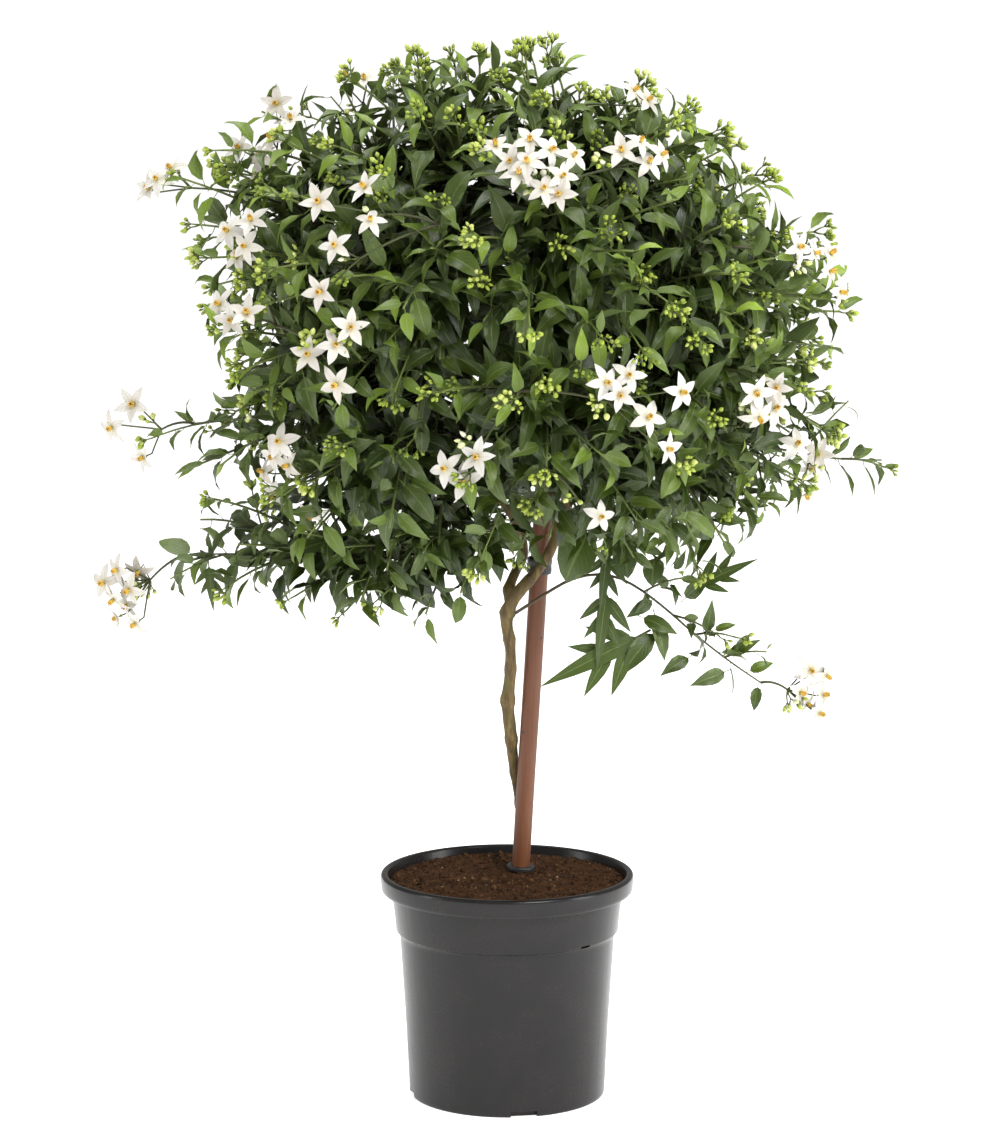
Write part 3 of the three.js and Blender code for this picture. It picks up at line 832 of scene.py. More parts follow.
def spine_of(node, stems):
    """The middle of a CAD shoot, from its root beside the woody stems to its tip."""
    co = np.array([v.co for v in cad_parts[node].data.vertices])
    gap = np.linalg.norm(co[:, None] - stems[None], axis=2).min(1)
    root = co[np.argsort(gap)[:4]].mean(0)
    reach = np.linalg.norm(co - root, axis=1)
    steps = np.linspace(0, reach.max() * 0.96, 9)
    path = [root]
    for low, high in zip(steps[:-1], steps[1:]):
        inside = co[(reach >= low) & (reach < high)]
        if len(inside) and high > 0.02:
            path.append(inside.mean(0))
    return resampled(smoothed(path, 2), 14)


SHOOTS = sorted(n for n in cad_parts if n.startswith("shoot_"))

main_middle, main_radius = cross_sections("main_stem", 60)
left_middle, left_radius = cross_sections("left_stem", 30)
woody = np.vstack([main_middle[main_middle[:, 2] > 0.34], left_middle])
spines = {name: spine_of(name, woody) for name in SHOOTS}


def part_of(shoot):
    """Which leaf piece a CAD shoot's leaves belong to."""
    for part in ("skirt", "waist", "shoulder", "trailing"):
        if part in shoot:
            return part
    return "crown"


# ---- The head's outline ----

# Where the head bulges out or falls in: a direction in units of its radii, how much, and how widely.
BULGES = [
    ((-0.80, -0.10, -0.90), 0.16, 0.36),
    ((-0.45, -0.15, -1.00), 0.10, 0.30),
    ((-0.72, 0.0, 0.78), 0.05, 0.22),
    ((-0.95, -0.1, -0.16), -0.30, 0.24),
    ((0.72, 0.0, 0.70), -0.13, 0.30),
    ((0.98, 0.0, 0.16), -0.06, 0.24),
    ((0.42, 0.0, 0.90), -0.05, 0.24),
    ((-0.16, 0.0, 1.0), 0.03, 0.16),
    ((0.72, 0.0, -0.78), 0.08, 0.30),
    ((0.10, 0.0, -1.0), -0.05, 0.35),
]


def outline(way):
    """How far the head reaches in a direction, in units of its radii: a ball with a flattened underside."""
    way = unit(way)
    power = 2.0 + 0.7 * np.clip(-way[2] * 2, 0, 1)
    flat = math.hypot(way[0], way[1])
    reach = (flat**power + abs(way[2]) ** power) ** (-1 / power)
    for centre, amount, spread in BULGES:
        gap = np.linalg.norm(way - unit(centre))
        reach += amount * math.exp(-((gap / spread) ** 2))
    return reach


def head_point(way, share):
    return HEAD_CENTRE + HEAD_RADII * unit(way) * outline(way) * share


def depth_in_head(point):
    """0 at the head's centre and 1 on its outline."""
    scaled = (point - HEAD_CENTRE) / HEAD_RADII
    return float(np.linalg.norm(scaled) / outline(scaled + 1e-9))


# ---- Twigs ----

foliage = {part: Foliage() for part in ("skirt", "waist", "shoulder", "crown", "trailing")}
twigs = Batch()
buds = Batch()

# Where twigs may start: the shoots inside the head and the tops of the woody stems, with the part each is in.
MAIN_TOP, LEFT_TOP = 14, 12
inner_shoots = [s for s in SHOOTS if "trailing" not in s]
inner_spines = [spines[s][2:] for s in inner_shoots]
all_spine = np.vstack(inner_spines + [main_middle[-MAIN_TOP:], left_middle[-LEFT_TOP:]])
spine_owner = [part_of(s) for s in inner_shoots for _ in spines[s][2:]]
spine_owner += ["waist"] * (MAIN_TOP + LEFT_TOP)
all_depth = np.array([depth_in_head(p) for p in all_spine])


def add_twig(path, thick, thin, age_from, age_to, sides=5):
    """A thin stem along a path. The age at each end places it on the twigs' map."""
    shape = tube(path, np.linspace(thick, thin, len(path)), sides)
    along = age_from + (age_to - age_from) * shape.places[..., 1]
    drift = random.uniform(0, 1)
    places = np.stack([(shape.places[..., 0] * 0.3 + drift * 0.7), np.clip(along, 0.01, 0.99)], -1)
    twigs.add_shape(shape, 0, places)


def leaf_tint_and_painted_shade(point, youth):
    """Painted shade makes leaves deeper green inside the head and low down under it; leaves on old wood are
    deeper green too, and young tips bright.
    """
    # Painted shade: lighter towards the head's outline, darker deep inside it and below 0.56 m under it.
    light = np.clip((depth_in_head(point) - 0.55) / 0.5, 0, 1)
    light = light - 0.55 * np.clip((0.56 - point[2]) / 0.14, 0, 1)
    value = 2.6 + 5.2 * light + 5.5 * youth**3 + random.normal(0, 1.5)
    return int(np.clip(round(value), 0, TINTS - 1))


def leafy(path, part, first, spacing, length, kinds=LANCEOLATE, droop=0.12, shrink=0.45, hang=0.0):
    """Leaves in a golden-angle spiral along the last stretch of a twig, from first metres along it."""
    reach = reach_along(path)
    total = reach[-1]
    turn = random.uniform(0, 6.28)
    at = first
    while at < total:
        point, ahead, behind = (
            np.array([np.interp(place, reach, path[:, k]) for k in range(3)])
            for place in (at, at + 3 * MM, at - 3 * MM)
        )
        tangent = unit(ahead - behind)
        side = unit(np.cross(tangent, beside(tangent)))
        over = np.cross(tangent, side)
        radial = math.cos(turn) * side + math.sin(turn) * over
        youth = np.clip((at - first) / max(total - first, 1e-6), 0, 1)
        outward = unit((point - HEAD_CENTRE) / HEAD_RADII**2)
        spread = 1.0 - 0.35 * youth
        way = tangent * 0.34 + radial * spread + outward * 0.08 - UP * (droop + hang)
        way += random.normal(0, 0.14, 3)
        face = outward * 0.5 + UP * 0.85 + tangent * 0.3 + random.normal(0, 0.25, 3)
        size = length * (1 - shrink * youth**2) * random.uniform(0.82, 1.15)
        tint = leaf_tint_and_painted_shade(point, youth)
        width, kind = random.uniform(0.82, 1.15), int(random.choice(kinds))
        foliage[part].add(point, way, face, size, width, tint, kind)
        turn += GOLDEN_ANGLE + random.normal(0, 0.25)
        at += spacing * random.uniform(0.8, 1.2)


def grow_to(tip, leaf_reach=0.115, length=0.048, spacing=0.0092, buds_here=None, bow=0.012):
    """A leafy twig from the nearest CAD shoot inside the head to a tip on its outline."""
    aim = HEAD_CENTRE + (tip - HEAD_CENTRE) * 0.52
    gap = np.linalg.norm(all_spine - aim, axis=1) + 0.12 * np.clip(all_depth - 0.75, 0, 1)
    nearest = int(np.argmin(gap))
    start = all_spine[nearest]
    part = spine_owner[nearest]
    middle = 0.5 * (start + tip) + UP * bow + random.normal(0, 0.006, 3)
    path = bezier(start, middle, tip, 9)
    add_twig(path, 1.3 * MM, 0.75 * MM, 0.25, 0.95, 4)
    leafy(path, part, max(0.012, path_length(path) - leaf_reach), spacing, length)
    if buds_here:
        bud_cluster(tip, unit(path[-1] - path[-2]), buds_here)


# ---- Buds and flowers ----


def spindle(length, radius, sides, rings, belly=0.5, point=1.0):
    """A closed spindle along +X, fullest at belly. Its map runs round it and along it."""
    s = np.linspace(0, 1, rings + 1)
    fullness = np.sin(math.pi * s ** (math.log(0.5) / math.log(belly))) ** point
    fullness = np.maximum(fullness, 0.0)
    fullness[[0, -1]] = 0.08
    path = np.stack([s * length, np.zeros_like(s), np.zeros_like(s)], 1)
    return tube(path, radius * fullness, sides)


BUD_KINDS = [
    spindle(1.0, 0.27, 5, 4, 0.58, 0.75),
    spindle(1.0, 0.33, 5, 4, 0.62, 0.7),
    spindle(1.0, 0.22, 5, 4, 0.55, 0.8),
]


def add_bud(at, way, length, age):
    shape = BUD_KINDS[random.integers(0, len(BUD_KINDS))]
    face = beside(unit(way))
    points = posed_once(shape.points, at, way, face, length)
    buds.add(points, shape.faces, flower_places(shape.places, flower_column(age)), shape.rim)


def bud_cluster(at, way, count, spread=1.0, age=None):
    """A forking head of buds on short stalks at a twig's tip."""
    way = unit(way)
    side = unit(np.cross(way, beside(way)))
    over = np.cross(way, side)
    forks = max(1, round(count / 5))
    mean_age = random.uniform(0.05, 0.55) if age is None else age
    for f in range(forks):
        angle = f * GOLDEN_ANGLE + random.uniform(0, 0.5)
        lean = math.cos(angle) * side + math.sin(angle) * over
        fork = at + (way * random.uniform(4, 9) + lean * random.uniform(2, 5) * spread) * MM
        bowed = 0.5 * (at + fork) + lean * 0.6 * MM
        add_twig(np.array([at, bowed, fork]), 0.7 * MM, 0.5 * MM, 0.8, 0.97, 4)
        for b in range(round(count / forks)):
            swing = b * GOLDEN_ANGLE + random.uniform(0, 1)
            out = math.cos(swing) * side + math.sin(swing) * over
            stalk_way = unit(way * 0.9 + lean * 0.45 + out * 0.62 * spread)
            end = fork + stalk_way * random.uniform(2.2, 5.2) * spread * MM
            add_twig(np.array([fork, end]), 0.42 * MM, 0.5 * MM, 0.85, 0.98, 3)
            bud_age = np.clip(mean_age + random.normal(0, 0.12), 0, 1)
            bud_length = random.uniform(4.2, 6.4) * (0.85 + 0.5 * bud_age) * MM
            add_bud(end - stalk_way * 0.3 * MM, stalk_way, bud_length, bud_age)


PETAL_LENGTH = 14.5 * MM
PETAL_COUNT = 5
FLOWER_LIFTS = (0.10, 0.0, 0.28, -0.12, 0.45, 0.18)
FLOWER_BENDS = (0.35, 0.55, 0.30, 0.60, 0.45, 0.75)


def flower_kinds():
    """Open stars of five pointed petals, from flat to swept back, each a list of its petals."""
    kinds = []
    for i, (lift, bend) in enumerate(zip(FLOWER_LIFTS, FLOWER_BENDS)):
        petals = []
        for k in range(PETAL_COUNT):
            petal = blade(
                0.222 + 0.014 * ((k + i) % 3),
                bend + 0.08 * math.sin(3 * k + i),
                lift=lift,
                fold=0.16,
                thickness=0.022,
                blunt=0.6,
                taper=1.05,
                ripple=0.08,
                start=0.04,
            )
            turn = k * 2 * math.pi / PETAL_COUNT
            petals.append(moved(petal, 1.0 + 0.04 * math.sin(2 * k + i), turn, (0, 0, 0)))
        kinds.append(petals)
    return kinds


FLOWER_KINDS = flower_kinds()
ANTHER = spindle(0.42, 0.062, 6, 4, 0.45, 0.7)
STYLE = spindle(0.55, 0.022, 4, 3, 0.5, 0.3)
CALYX = spindle(0.26, 0.11, 6, 3, 0.7, 0.8)


def turned_up(shape, lean=0.0, turn=0.0, out=0.0):
    """A spindle stood on end along +Z, leaning out by an angle and turned round the flower's axis."""
    x, y, z = shape.points.T
    c, s = math.cos(lean), math.sin(lean)
    outward, up = z * c + x * s + out, x * c - z * s
    c, s = math.cos(turn), math.sin(turn)
    return np.stack([outward * c - y * s, outward * s + y * c, up], 1)


def petal_column(warmth):
    """The map column of one petal, near its flower's warmth from 0 to 1."""
    last = FLOWER_COLUMNS - 1
    return int(np.clip(round(warmth * last + random.normal(0, 0.8)), 0, last))


def add_flower(batch, at, facing, kind, warmth, size):
    """An open flower whose middle is at a point, looking along facing."""
    facing = unit(facing)
    roll = random.normal(0, 1, 3)
    first_petal = roll - facing * np.dot(roll, facing)

    def put(shape, points, slot, column, row=0):
        made = posed_once(points, at, first_petal, facing, PETAL_LENGTH * size)
        batch.add(made, shape.faces, flower_places(shape.places, column, row), shape.rim, slot)

    for petal in FLOWER_KINDS[kind]:
        put(petal, petal.points, 0, petal_column(warmth))
    for k in range(PETAL_COUNT):
        put(ANTHER, turned_up(ANTHER, 0.10, k * 2 * math.pi / PETAL_COUNT + 0.6, 0.055), 1, k)
    put(STYLE, turned_up(STYLE), 2, 2, 1)
    put(CALYX, turned_up(CALYX) * [1, 1, -1], 2, 0, 1)


# Where each cluster's open flowers are, in millimetres.
FRONT_LOOK, BACK_LOOK = np.array([0.0, -1.0, 0.22]), np.array([0.0, 0.8, 0.3])
BACK_FROM = 50 * MM
OPEN_FLOWERS = {
    "top_front": [(-8, -150, 722), (16, -154, 726), (38, -166, 702), (46, -156, 716), (8, -166, 704),
                  (25, -172, 694), (30, -158, 720), (2, -156, 712), (14, -168, 712), (36, -170, 690)],
    "top_right": [(80, -140, 718), (93, -132, 724), (108, -130, 715), (99, -137, 710)],
    "crown_left": [(-118, 0, 764), (-104, -6, 762)],
    "crown_right": [(90, -76, 757), (100, -72, 750)],
    "upper_left": [(-168, 0, 744), (-158, -6, 733), (-195, -6, 712), (-180, -14, 706), (-172, -4, 718)],
    "far_left": [(-256, -4, 689), (-246, 2, 697), (-262, 4, 682)],
    "left_high": [(-182, -92, 666), (-186, -99, 648), (-200, -74, 657), (-192, -88, 640)],
    "left_brow": [(-132, -132, 682), (-95, -158, 671), (-99, -145, 693)],
    "left_cheek": [(-120, -154, 653), (-130, -159, 622)],
    "left_mid": [(-205, -92, 606), (-184, -118, 602), (-196, -104, 596)],
    "left_three": [(-109, -172, 598), (-120, -168, 585), (-139, -156, 577), (-119, -163, 557)],
    "left_low": [(-162, -112, 510), (-156, -104, 492), (-176, -72, 483), (-171, -40, 462), (-141, -78, 453),
                 (-167, -96, 498)],
    "trail_left_upper": [(-276, 0, 523), (-292, 0, 506), (-269, 0, 484)],
    "trail_left_lower": [(-289, -4, 400), (-274, 4, 398), (-280, -10, 386), (-292, -2, 378), (-290, 6, 363),
                         (-276, -4, 360), (-300, 4, 389), (-283, 8, 372)],
    "front_low": [(-21, -180, 508), (-30, -170, 489), (-43, -173, 499)],
    "front_right": [(68, -192, 562), (78, -190, 553), (98, -180, 536), (121, -174, 553), (112, -166, 512),
                    (84, -186, 566)],
    "under_right": [(66, -145, 461)],
    "right_mid": [(175, -139, 549), (190, -127, 551), (190, -120, 535), (178, -131, 530)],
    "right_low": [(210, -62, 502), (224, -10, 478), (221, -6, 458), (228, -24, 490)],
    "right_edge": [(207, -98, 648), (219, -84, 642), (231, -70, 628), (240, -58, 612), (232, -66, 640)],
    "trail_right_lower": [(226, -4, 325), (238, 2, 320), (224, 4, 298), (233, -4, 292), (218, -6, 308),
                          (236, 6, 304)],
    "back_high": [(18, 163, 712), (46, 168, 706), (34, 176, 690), (58, 160, 692), (8, 170, 696)],
    "back_left": [(-140, 158, 634), (-120, 170, 626), (-132, 168, 610), (-108, 176, 640)],
    "back_right": [(150, 148, 622), (166, 142, 608), (146, 160, 604), (158, 150, 592)],
    "back_low": [(6, 198, 520), (26, 202, 514), (38, 196, 528)],
}


def grow_cluster(batch, name):
    """A cluster's flowers, the stalks that carry them from the nearest shoot, and a few buds among them."""
    places = np.array(OPEN_FLOWERS[name], float) * MM
    centre = places.mean(0)
    outward = unit((centre - HEAD_CENTRE) / HEAD_RADII)
    look = FRONT_LOOK if centre[1] < BACK_FROM else BACK_LOOK
    cloud = np.vstack([all_spine] + [spines[s] for s in SHOOTS if "trailing" in s])
    root = cloud[np.argmin(np.linalg.norm(cloud - centre, axis=1))]
    inward = unit(root - centre)
    fork = centre + inward * min(24 * MM, 0.5 * np.linalg.norm(root - centre)) + UP * -2 * MM
    bend = 0.5 * (root + fork) + UP * 5 * MM
    add_twig(bezier(root, bend, fork, 7), 1.1 * MM, 0.8 * MM, 0.35, 0.7)
    for at in places:
        own = unit(at - fork)
        facing = unit(0.5 * outward + 0.75 * look + 0.4 * own + random.normal(0, 0.36, 3))
        back = at - facing * 3 * MM
        neck = back - facing * 5 * MM
        path = bezier(fork, 0.5 * (fork + neck) + own * 2 * MM, neck, 4)
        add_twig(np.vstack([path, back[None]]), 0.65 * MM, 0.6 * MM, 0.5, 0.85, 4)
        kind, warmth = int(random.integers(0, len(FLOWER_KINDS))), random.uniform(0.0, 0.45)
        add_flower(batch, at, facing, kind, warmth, random.uniform(0.92, 1.1))
    for _ in range(max(1, len(places) // 2)):
        aim = unit(outward + look * 0.4 + random.normal(0, 0.5, 3))
        bud_cluster(fork, aim, int(random.integers(3, 6)), spread=1.3, age=random.uniform(0.5, 1.0))


# ---- The head ----

TWIG_COUNT = 360


def fill_head():
    """Leafy twigs to points spread evenly over the head's outline, most of them ending in buds."""
    for i in range(TWIG_COUNT):
        height = 1 - 2 * (i + 0.5) / TWIG_COUNT
        turn = i * GOLDEN_ANGLE
        flat = math.sqrt(1 - height * height)
        way = np.array([flat * math.cos(turn), flat * math.sin(turn), height]) + random.normal(0, 0.05, 3)
        share = 0.98 - 0.24 * random.uniform() ** 1.5
        has_buds = random.uniform() < (0.62 if height > -0.5 else 0.25)
        if has_buds:
            share += 0.03
        tip = head_point(way, share)
        hides_the_stem = tip[2] < 0.47 and abs(tip[0] - 0.022) < 0.034 and tip[1] < 0.06
        if hides_the_stem:
            continue
        grow_to(tip, buds_here=int(random.integers(10, 19)) if has_buds else None)


INNER_TWIGS = 150


def fill_core():
    """Shaded twigs with large leaves inside the head, so that it isn't seen through."""
    for i in range(INNER_TWIGS):
        height = 1 - 2 * (i + 0.5) / INNER_TWIGS
        turn = i * GOLDEN_ANGLE + 0.5
        flat = math.sqrt(1 - height * height)
        way = np.array([flat * math.cos(turn), flat * math.sin(turn), 0.8 * height])
        tip = head_point(way, random.uniform(0.25, 0.72))
        if tip[2] > 0.43:
            grow_to(tip, leaf_reach=0.12, length=0.052, spacing=0.0115, bow=0.004)


# Twigs that break the head's outline, in millimetres: the tip of each, and how many buds end it.
STRAYS = [
    ((-20, -16, 772), 14), ((-56, -10, 764), 12), ((-38, 10, 770), 10), ((-8, 20, 764), 8),
    ((-118, 10, 752), 5), ((-202, -6, 700), 6), ((-226, 10, 655), 8), ((-206, -30, 712), 6),
    ((-236, -10, 690), 5), ((-180, 10, 738), 0), ((90, -10, 748), 6), ((128, -4, 706), 4),
    ((160, 0, 712), 9), ((140, -30, 684), 8), ((172, -20, 662), 8), ((238, -8, 612), 8),
    ((246, 20, 590), 6), ((222, -40, 560), 8), ((214, -20, 640), 8), ((-214, 20, 610), 6),
    ((20, 60, 770), 10), ((-80, 70, 750), 10), ((100, 60, 740), 8), ((-20, 150, 730), 8),
    ((-190, 60, 680), 8),
]

# Shoots that hang below the head, in millimetres: the tip of each.
HANGING = [
    (-205, -28, 392), (-182, 6, 402), (-154, -44, 388), (-118, -26, 374), (-92, -52, 388),
    (-60, -34, 372), (-34, -46, 390), (-228, 8, 436), (-212, -40, 458), (-196, -60, 428),
    (-236, -8, 476), (-170, 20, 420), (-140, 40, 400), (-100, 20, 395), (-70, 50, 400),
    (-40, 60, 405), (-150, -80, 440), (-120, -90, 430), (-80, -100, 440), (-180, -60, 500),
    (-200, -20, 520), (-160, -100, 470), (-60, -110, 430), (-20, -90, 425), (186, -16, 440),
    (160, -36, 424), (124, -56, 424), (92, -70, 420), (62, -66, 424), (140, 20, 425),
    (100, 40, 420), (60, 60, 420), (180, 30, 450), (200, -10, 470), (150, -80, 440),
    (110, -100, 440), (20, 70, 410), (-10, 90, 420), (30, -90, 436), (70, -110, 440),
    (210, 20, 500), (10, -60, 425),
]

# Leaves along the trailing shoots: from where, how far apart, how long.
TRAILS = {
    "shoot_trailing_left_upper": (0.05, 0.0120, 0.036, LANCEOLATE),
    "shoot_trailing_left_lower": (0.03, 0.0095, 0.044, range(6, 14)),
    "shoot_trailing_right_upper": (0.03, 0.0085, 0.036, LANCEOLATE),
    "shoot_trailing_right_lower": (0.155, 0.0130, 0.030, LANCEOLATE),
}

# Single large leaves below the head: base and tip in millimetres, width, tint and kind.
LARGE_LEAVES = [
    ((62, -60, 443), (42, -66, 403), 1.0, 6, 12),
    ((84, -50, 436), (88, -56, 404), 1.0, 4, 10),
    ((74, -38, 424), (68, -46, 376), 0.95, 4, 13),
    ((74, -34, 396), (66, -42, 334), 0.9, 5, 14),
    ((106, -28, 359), (28, -36, 320), 0.9, 6, 13),
    ((112, -26, 362), (84, -34, 326), 0.9, 5, 3),
    ((96, -26, 370), (125, -32, 357), 1.0, 6, 3),
    ((108, -24, 374), (117, -30, 336), 1.0, 6, 5),
    ((138, -18, 339), (114, -24, 324), 1.1, 5, 2),
    ((166, -14, 327), (136, -20, 316), 1.1, 6, 2),
    ((187, -8, 316), (183, -14, 295), 1.1, 6, 7),
    ((147, -20, 352), (151, -26, 382), 1.0, 5, 1),
    ((136, -26, 390), (182, -32, 412), 0.9, 5, 13),
    ((108, -40, 418), (106, -46, 396), 1.1, 5, 11),
    ((122, -30, 402), (131, -36, 420), 1.1, 5, 4),
    ((160, -12, 336), (188, -18, 350), 1.0, 7, 0),
    ((120, -32, 390), (107, -38, 405), 1.1, 5, 6),
    ((128, -28, 380), (150, -34, 402), 1.1, 5, 2),
    ((110, -30, 384), (88, -36, 370), 1.0, 5, 3),
]


def grow_strays():
    for tip, count in STRAYS:
        grow_to(np.array(tip) * MM, buds_here=count or None, leaf_reach=0.13, spacing=0.0085)
    for tip in HANGING:
        tip = np.array(tip) * MM
        hub = spines["shoot_trailing_left_lower"] if tip[0] < 0 and tip[2] < 0.46 else all_spine
        aim = tip + (HEAD_CENTRE - tip) * 0.4
        start = hub[np.argmin(np.linalg.norm(hub - aim, axis=1))]
        middle = 0.5 * (start + tip) + UP * 0.012 + random.normal(0, 0.006, 3)
        path = bezier(start, middle, tip, 9)
        add_twig(path, 1.3 * MM, 0.8 * MM, 0.3, 0.9)
        part = "trailing" if tip[0] < 0 else "skirt"
        leafy(path, part, max(0.01, path_length(path) - 0.12), 0.0095, 0.043, hang=0.2)
        if random.uniform() < 0.35:
            count, age = int(random.integers(5, 10)), random.uniform(0.1, 0.7)
            bud_cluster(tip, unit(path[-1] - path[-2]), count, age=age)


def grow_trails():
    for name, (first, spacing, length, kinds) in TRAILS.items():
        path = spines[name]
        leafy(path, "trailing", first, spacing, length, kinds, hang=0.1, shrink=0.35)
        for share in (0.5, 0.62, 0.74, 0.86) if "right_lower" in name else (0.3, 0.45, 0.6, 0.75, 0.88):
            at = resampled(path, 40)[int(share * 39)]
            away = unit(random.normal(0, 1, 3) * [0.5, 0.7, 0.6] + unit(path[-1] - path[0]) * 0.9)
            tip = at + away * random.uniform(0.03, 0.055)
            side = bezier(at, 0.5 * (at + tip) + UP * 4 * MM, tip, 5)
            add_twig(side, 0.9 * MM, 0.6 * MM, 0.5, 0.95, 4)
            leafy(side, "trailing", 0.006, 0.0085, length * 0.85, kinds, hang=0.1)
            if random.uniform() < 0.5:
                bud_cluster(tip, away, int(random.integers(4, 9)))
    for base, tip, width, tint, kind in LARGE_LEAVES:
        base, tip = np.array(base) * MM, np.array(tip) * MM
        face = np.array([0.0, -1.0, 0.35]) + random.normal(0, 0.15, 3)
        foliage["trailing"].add(base, tip - base, face, 1.06 * np.linalg.norm(tip - base), width, tint, kind)


def grow_spines():
    """The bare stems of the CAD shoots, and leaves along those that end inside the head."""
    for name, path in spines.items():
        thick = 1.25 * MM if "trailing" in name else 1.9 * MM
        fine = resampled(path, 26)
        add_twig(fine, thick, 0.5 * thick, 0.05, 0.75, 7)
        if "trailing" not in name:
            leafy(fine, part_of(name), 0.4 * path_length(fine), 0.011, 0.038)


# ---- Woody stems, cane, ties ----


STEM_STEPS, STEM_SIDES = 150, 20
KNOT_SPACING, KNOT_LENGTH = 26 * MM, 3.5 * MM


def knobbly_stem(name, node, middles, radii, slot, material, start_z):
    """A woody stem with swollen leaf nodes and uneven sides."""
    keep = middles[:, 2] > start_z
    path = resampled(smoothed(middles[keep], 1), STEM_STEPS)
    s = np.linspace(0, 1, STEM_STEPS)
    fine_radii = np.interp(s, np.linspace(0, 1, keep.sum()), radii[keep])
    length = path_length(path)
    swelling = np.ones(STEM_STEPS)
    for k in range(int(length / KNOT_SPACING)):
        centre = (k + 0.5) * KNOT_SPACING / length + random.normal(0, 0.006)
        swelling += random.uniform(0.12, 0.32) * np.exp(-(((s - centre) * length / KNOT_LENGTH) ** 2))
    angles = round_angles(STEM_SIDES)
    uneven = np.ones((STEM_STEPS, STEM_SIDES))
    for k in range(7):
        phase, rate = random.uniform(0, 6.28), random.uniform(8, 60)
        uneven += 0.035 * np.sin((1 + k % 4) * angles[None] + rate * s[:, None] + phase)
    shape = tube(path, fine_radii, STEM_SIDES, swelling[:, None] * uneven)
    return outfitted(plain_piece(name, shape, material, 75), slot, node)


def cane_piece(material):
    """A round stained cane, a little uneven, its ends a little narrowed."""
    middles, _ = cross_sections("cane", 9)
    foot, top = middles[0], middles[-1]
    count, sides = 90, 40
    path = foot + np.linspace(0, 1, count)[:, None] * (top - foot)
    s = np.linspace(0, 1, count)
    angles = round_angles(sides)
    uneven = 0.012 * np.sin(2 * angles[None] + 5 * s[:, None])
    uneven += 0.010 * np.sin(3 * angles[None] - 19 * s[:, None])
    radii = CANE_RADIUS * (1 - 0.05 * s)
    radii[[0, -1]] *= 0.86
    piece = plain_piece("wooden_cane", tube(path, radii, sides, 1 + uneven), material, 60)
    return outfitted(piece, "cane_wood", "cane")


def band_piece(name, node, inside, outside, material, folds=0.0):
    """A band round the cane, its edges rounded, at its CAD node's place."""
    low, high = (np.array(c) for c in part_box(node))
    middles, _ = cross_sections("cane", 9)
    way = unit(middles[-1] - middles[0])

    def on_cane(height):
        share = (height - middles[0][2]) / (middles[-1][2] - middles[0][2])
        return middles[0] + share * (middles[-1] - middles[0])

    bottom, top = on_cane(low[2] + 0.4 * MM), on_cane(high[2] - 0.4 * MM)
    length = np.linalg.norm(top - bottom)
    thick = outside - inside
    bevel = min(thick, length) * 0.35
    arc = np.linspace(0, math.pi / 2, 5)
    section = [(inside, 0.0), (outside - bevel, 0.0)]
    section += [(outside - bevel + bevel * math.sin(a), bevel - bevel * math.cos(a)) for a in arc]
    for t in np.linspace(0.1, 0.9, 9):
        section.append((outside + folds * math.sin(9 * t), bevel + t * (length - 2 * bevel)))
    section += [(outside - bevel + bevel * math.cos(a), length - bevel + bevel * math.sin(a)) for a in arc]
    section += [(inside, length)]
    sides = 64
    angles = round_angles(sides)
    side = unit(np.cross(way, [0, 1, 0]))
    over = np.cross(way, side)
    rings = np.array([bottom + way * h + r * ring_way(angles, side, over) for r, h in section])
    faces = []
    for i in range(len(section)):
        faces += ring_faces(i * sides, (i + 1) % len(section) * sides, sides)
    shape = Shape(rings.reshape(-1, 3), np.vstack(faces))
    return outfitted(plain_piece(name, shape, material, 35), "black_rubber", node)


# ---- Pot and soil ----

NOTCH_ANGLES = [math.radians(-80 + 90 * k) for k in range(4)]
SLOT_ANGLES = [math.radians(-46 + 180 * k) for k in range(2)]
FOOT_RADIUS = 73.5


def arc_points(centre, radius, start, end, count):
    """[radius, height] points on an arc, its angles in degrees."""
    return [
        (centre[0] + radius * math.cos(math.radians(a)), centre[1] + radius * math.sin(math.radians(a)))
        for a in np.linspace(start, end, count)
    ]


def pot_profile():
    """The pot's closed outline: foot, wall, shoulder band, rolled lip, and down inside to the floor."""
    foot, rim, top = FOOT_RADIUS, POT_RIM_RADIUS / MM, POT_HEIGHT / MM
    outside = [(0, 0), (foot - 12, 0)]
    outside += arc_points((foot - 1.8, 1.8), 1.8, -90, -10, 6)
    outside += [(foot + 0.2, 4), (foot + 1.5, 30), (foot + 3.3, 64), (foot + 5.5, 97), (foot + 7.1, 121.5)]
    outside += [(foot + 7.2, 124.2), (foot + 8.2, 125.6)]
    outside += arc_points((82.1, 127.6), 1.6, -65, -5, 5)
    outside += [(84.6, 138), (85.9, 148), (86.8, 155.4)]
    lip = [(rim - 6.6, top - 13.6), (rim - 3.4, top - 13.9), (rim - 1.7, top - 13.6), (rim - 0.8, top - 12.6)]
    lip += [(rim - 0.4, top - 10.5), (rim - 0.05, top - 5.5)]
    lip += arc_points((rim - 2.6, top - 2.6), 2.6, 0, 95, 9)
    lip += arc_points((rim - 3.4, top - 2.2), 2.2, 105, 170, 5)
    inside = [(rim - 6.4, top - 4.6), (88.2, 163.5), (85.4, 155.8), (84.2, 147), (82.9, 137.5), (81.9, 128.8)]
    inside += [(80.4, 126.8), (foot + 5.7, 124.8), (foot + 5.5, 121.5), (foot + 3.9, 97), (foot + 1.7, 64)]
    inside += [(foot - 0.1, 30), (foot - 1.5, 4.4)]
    inside += arc_points((foot - 3.2, 4.0), 1.6, 0, -90, 4)
    inside += [(0, 2.4)]
    return np.array(outside + lip + inside) * MM


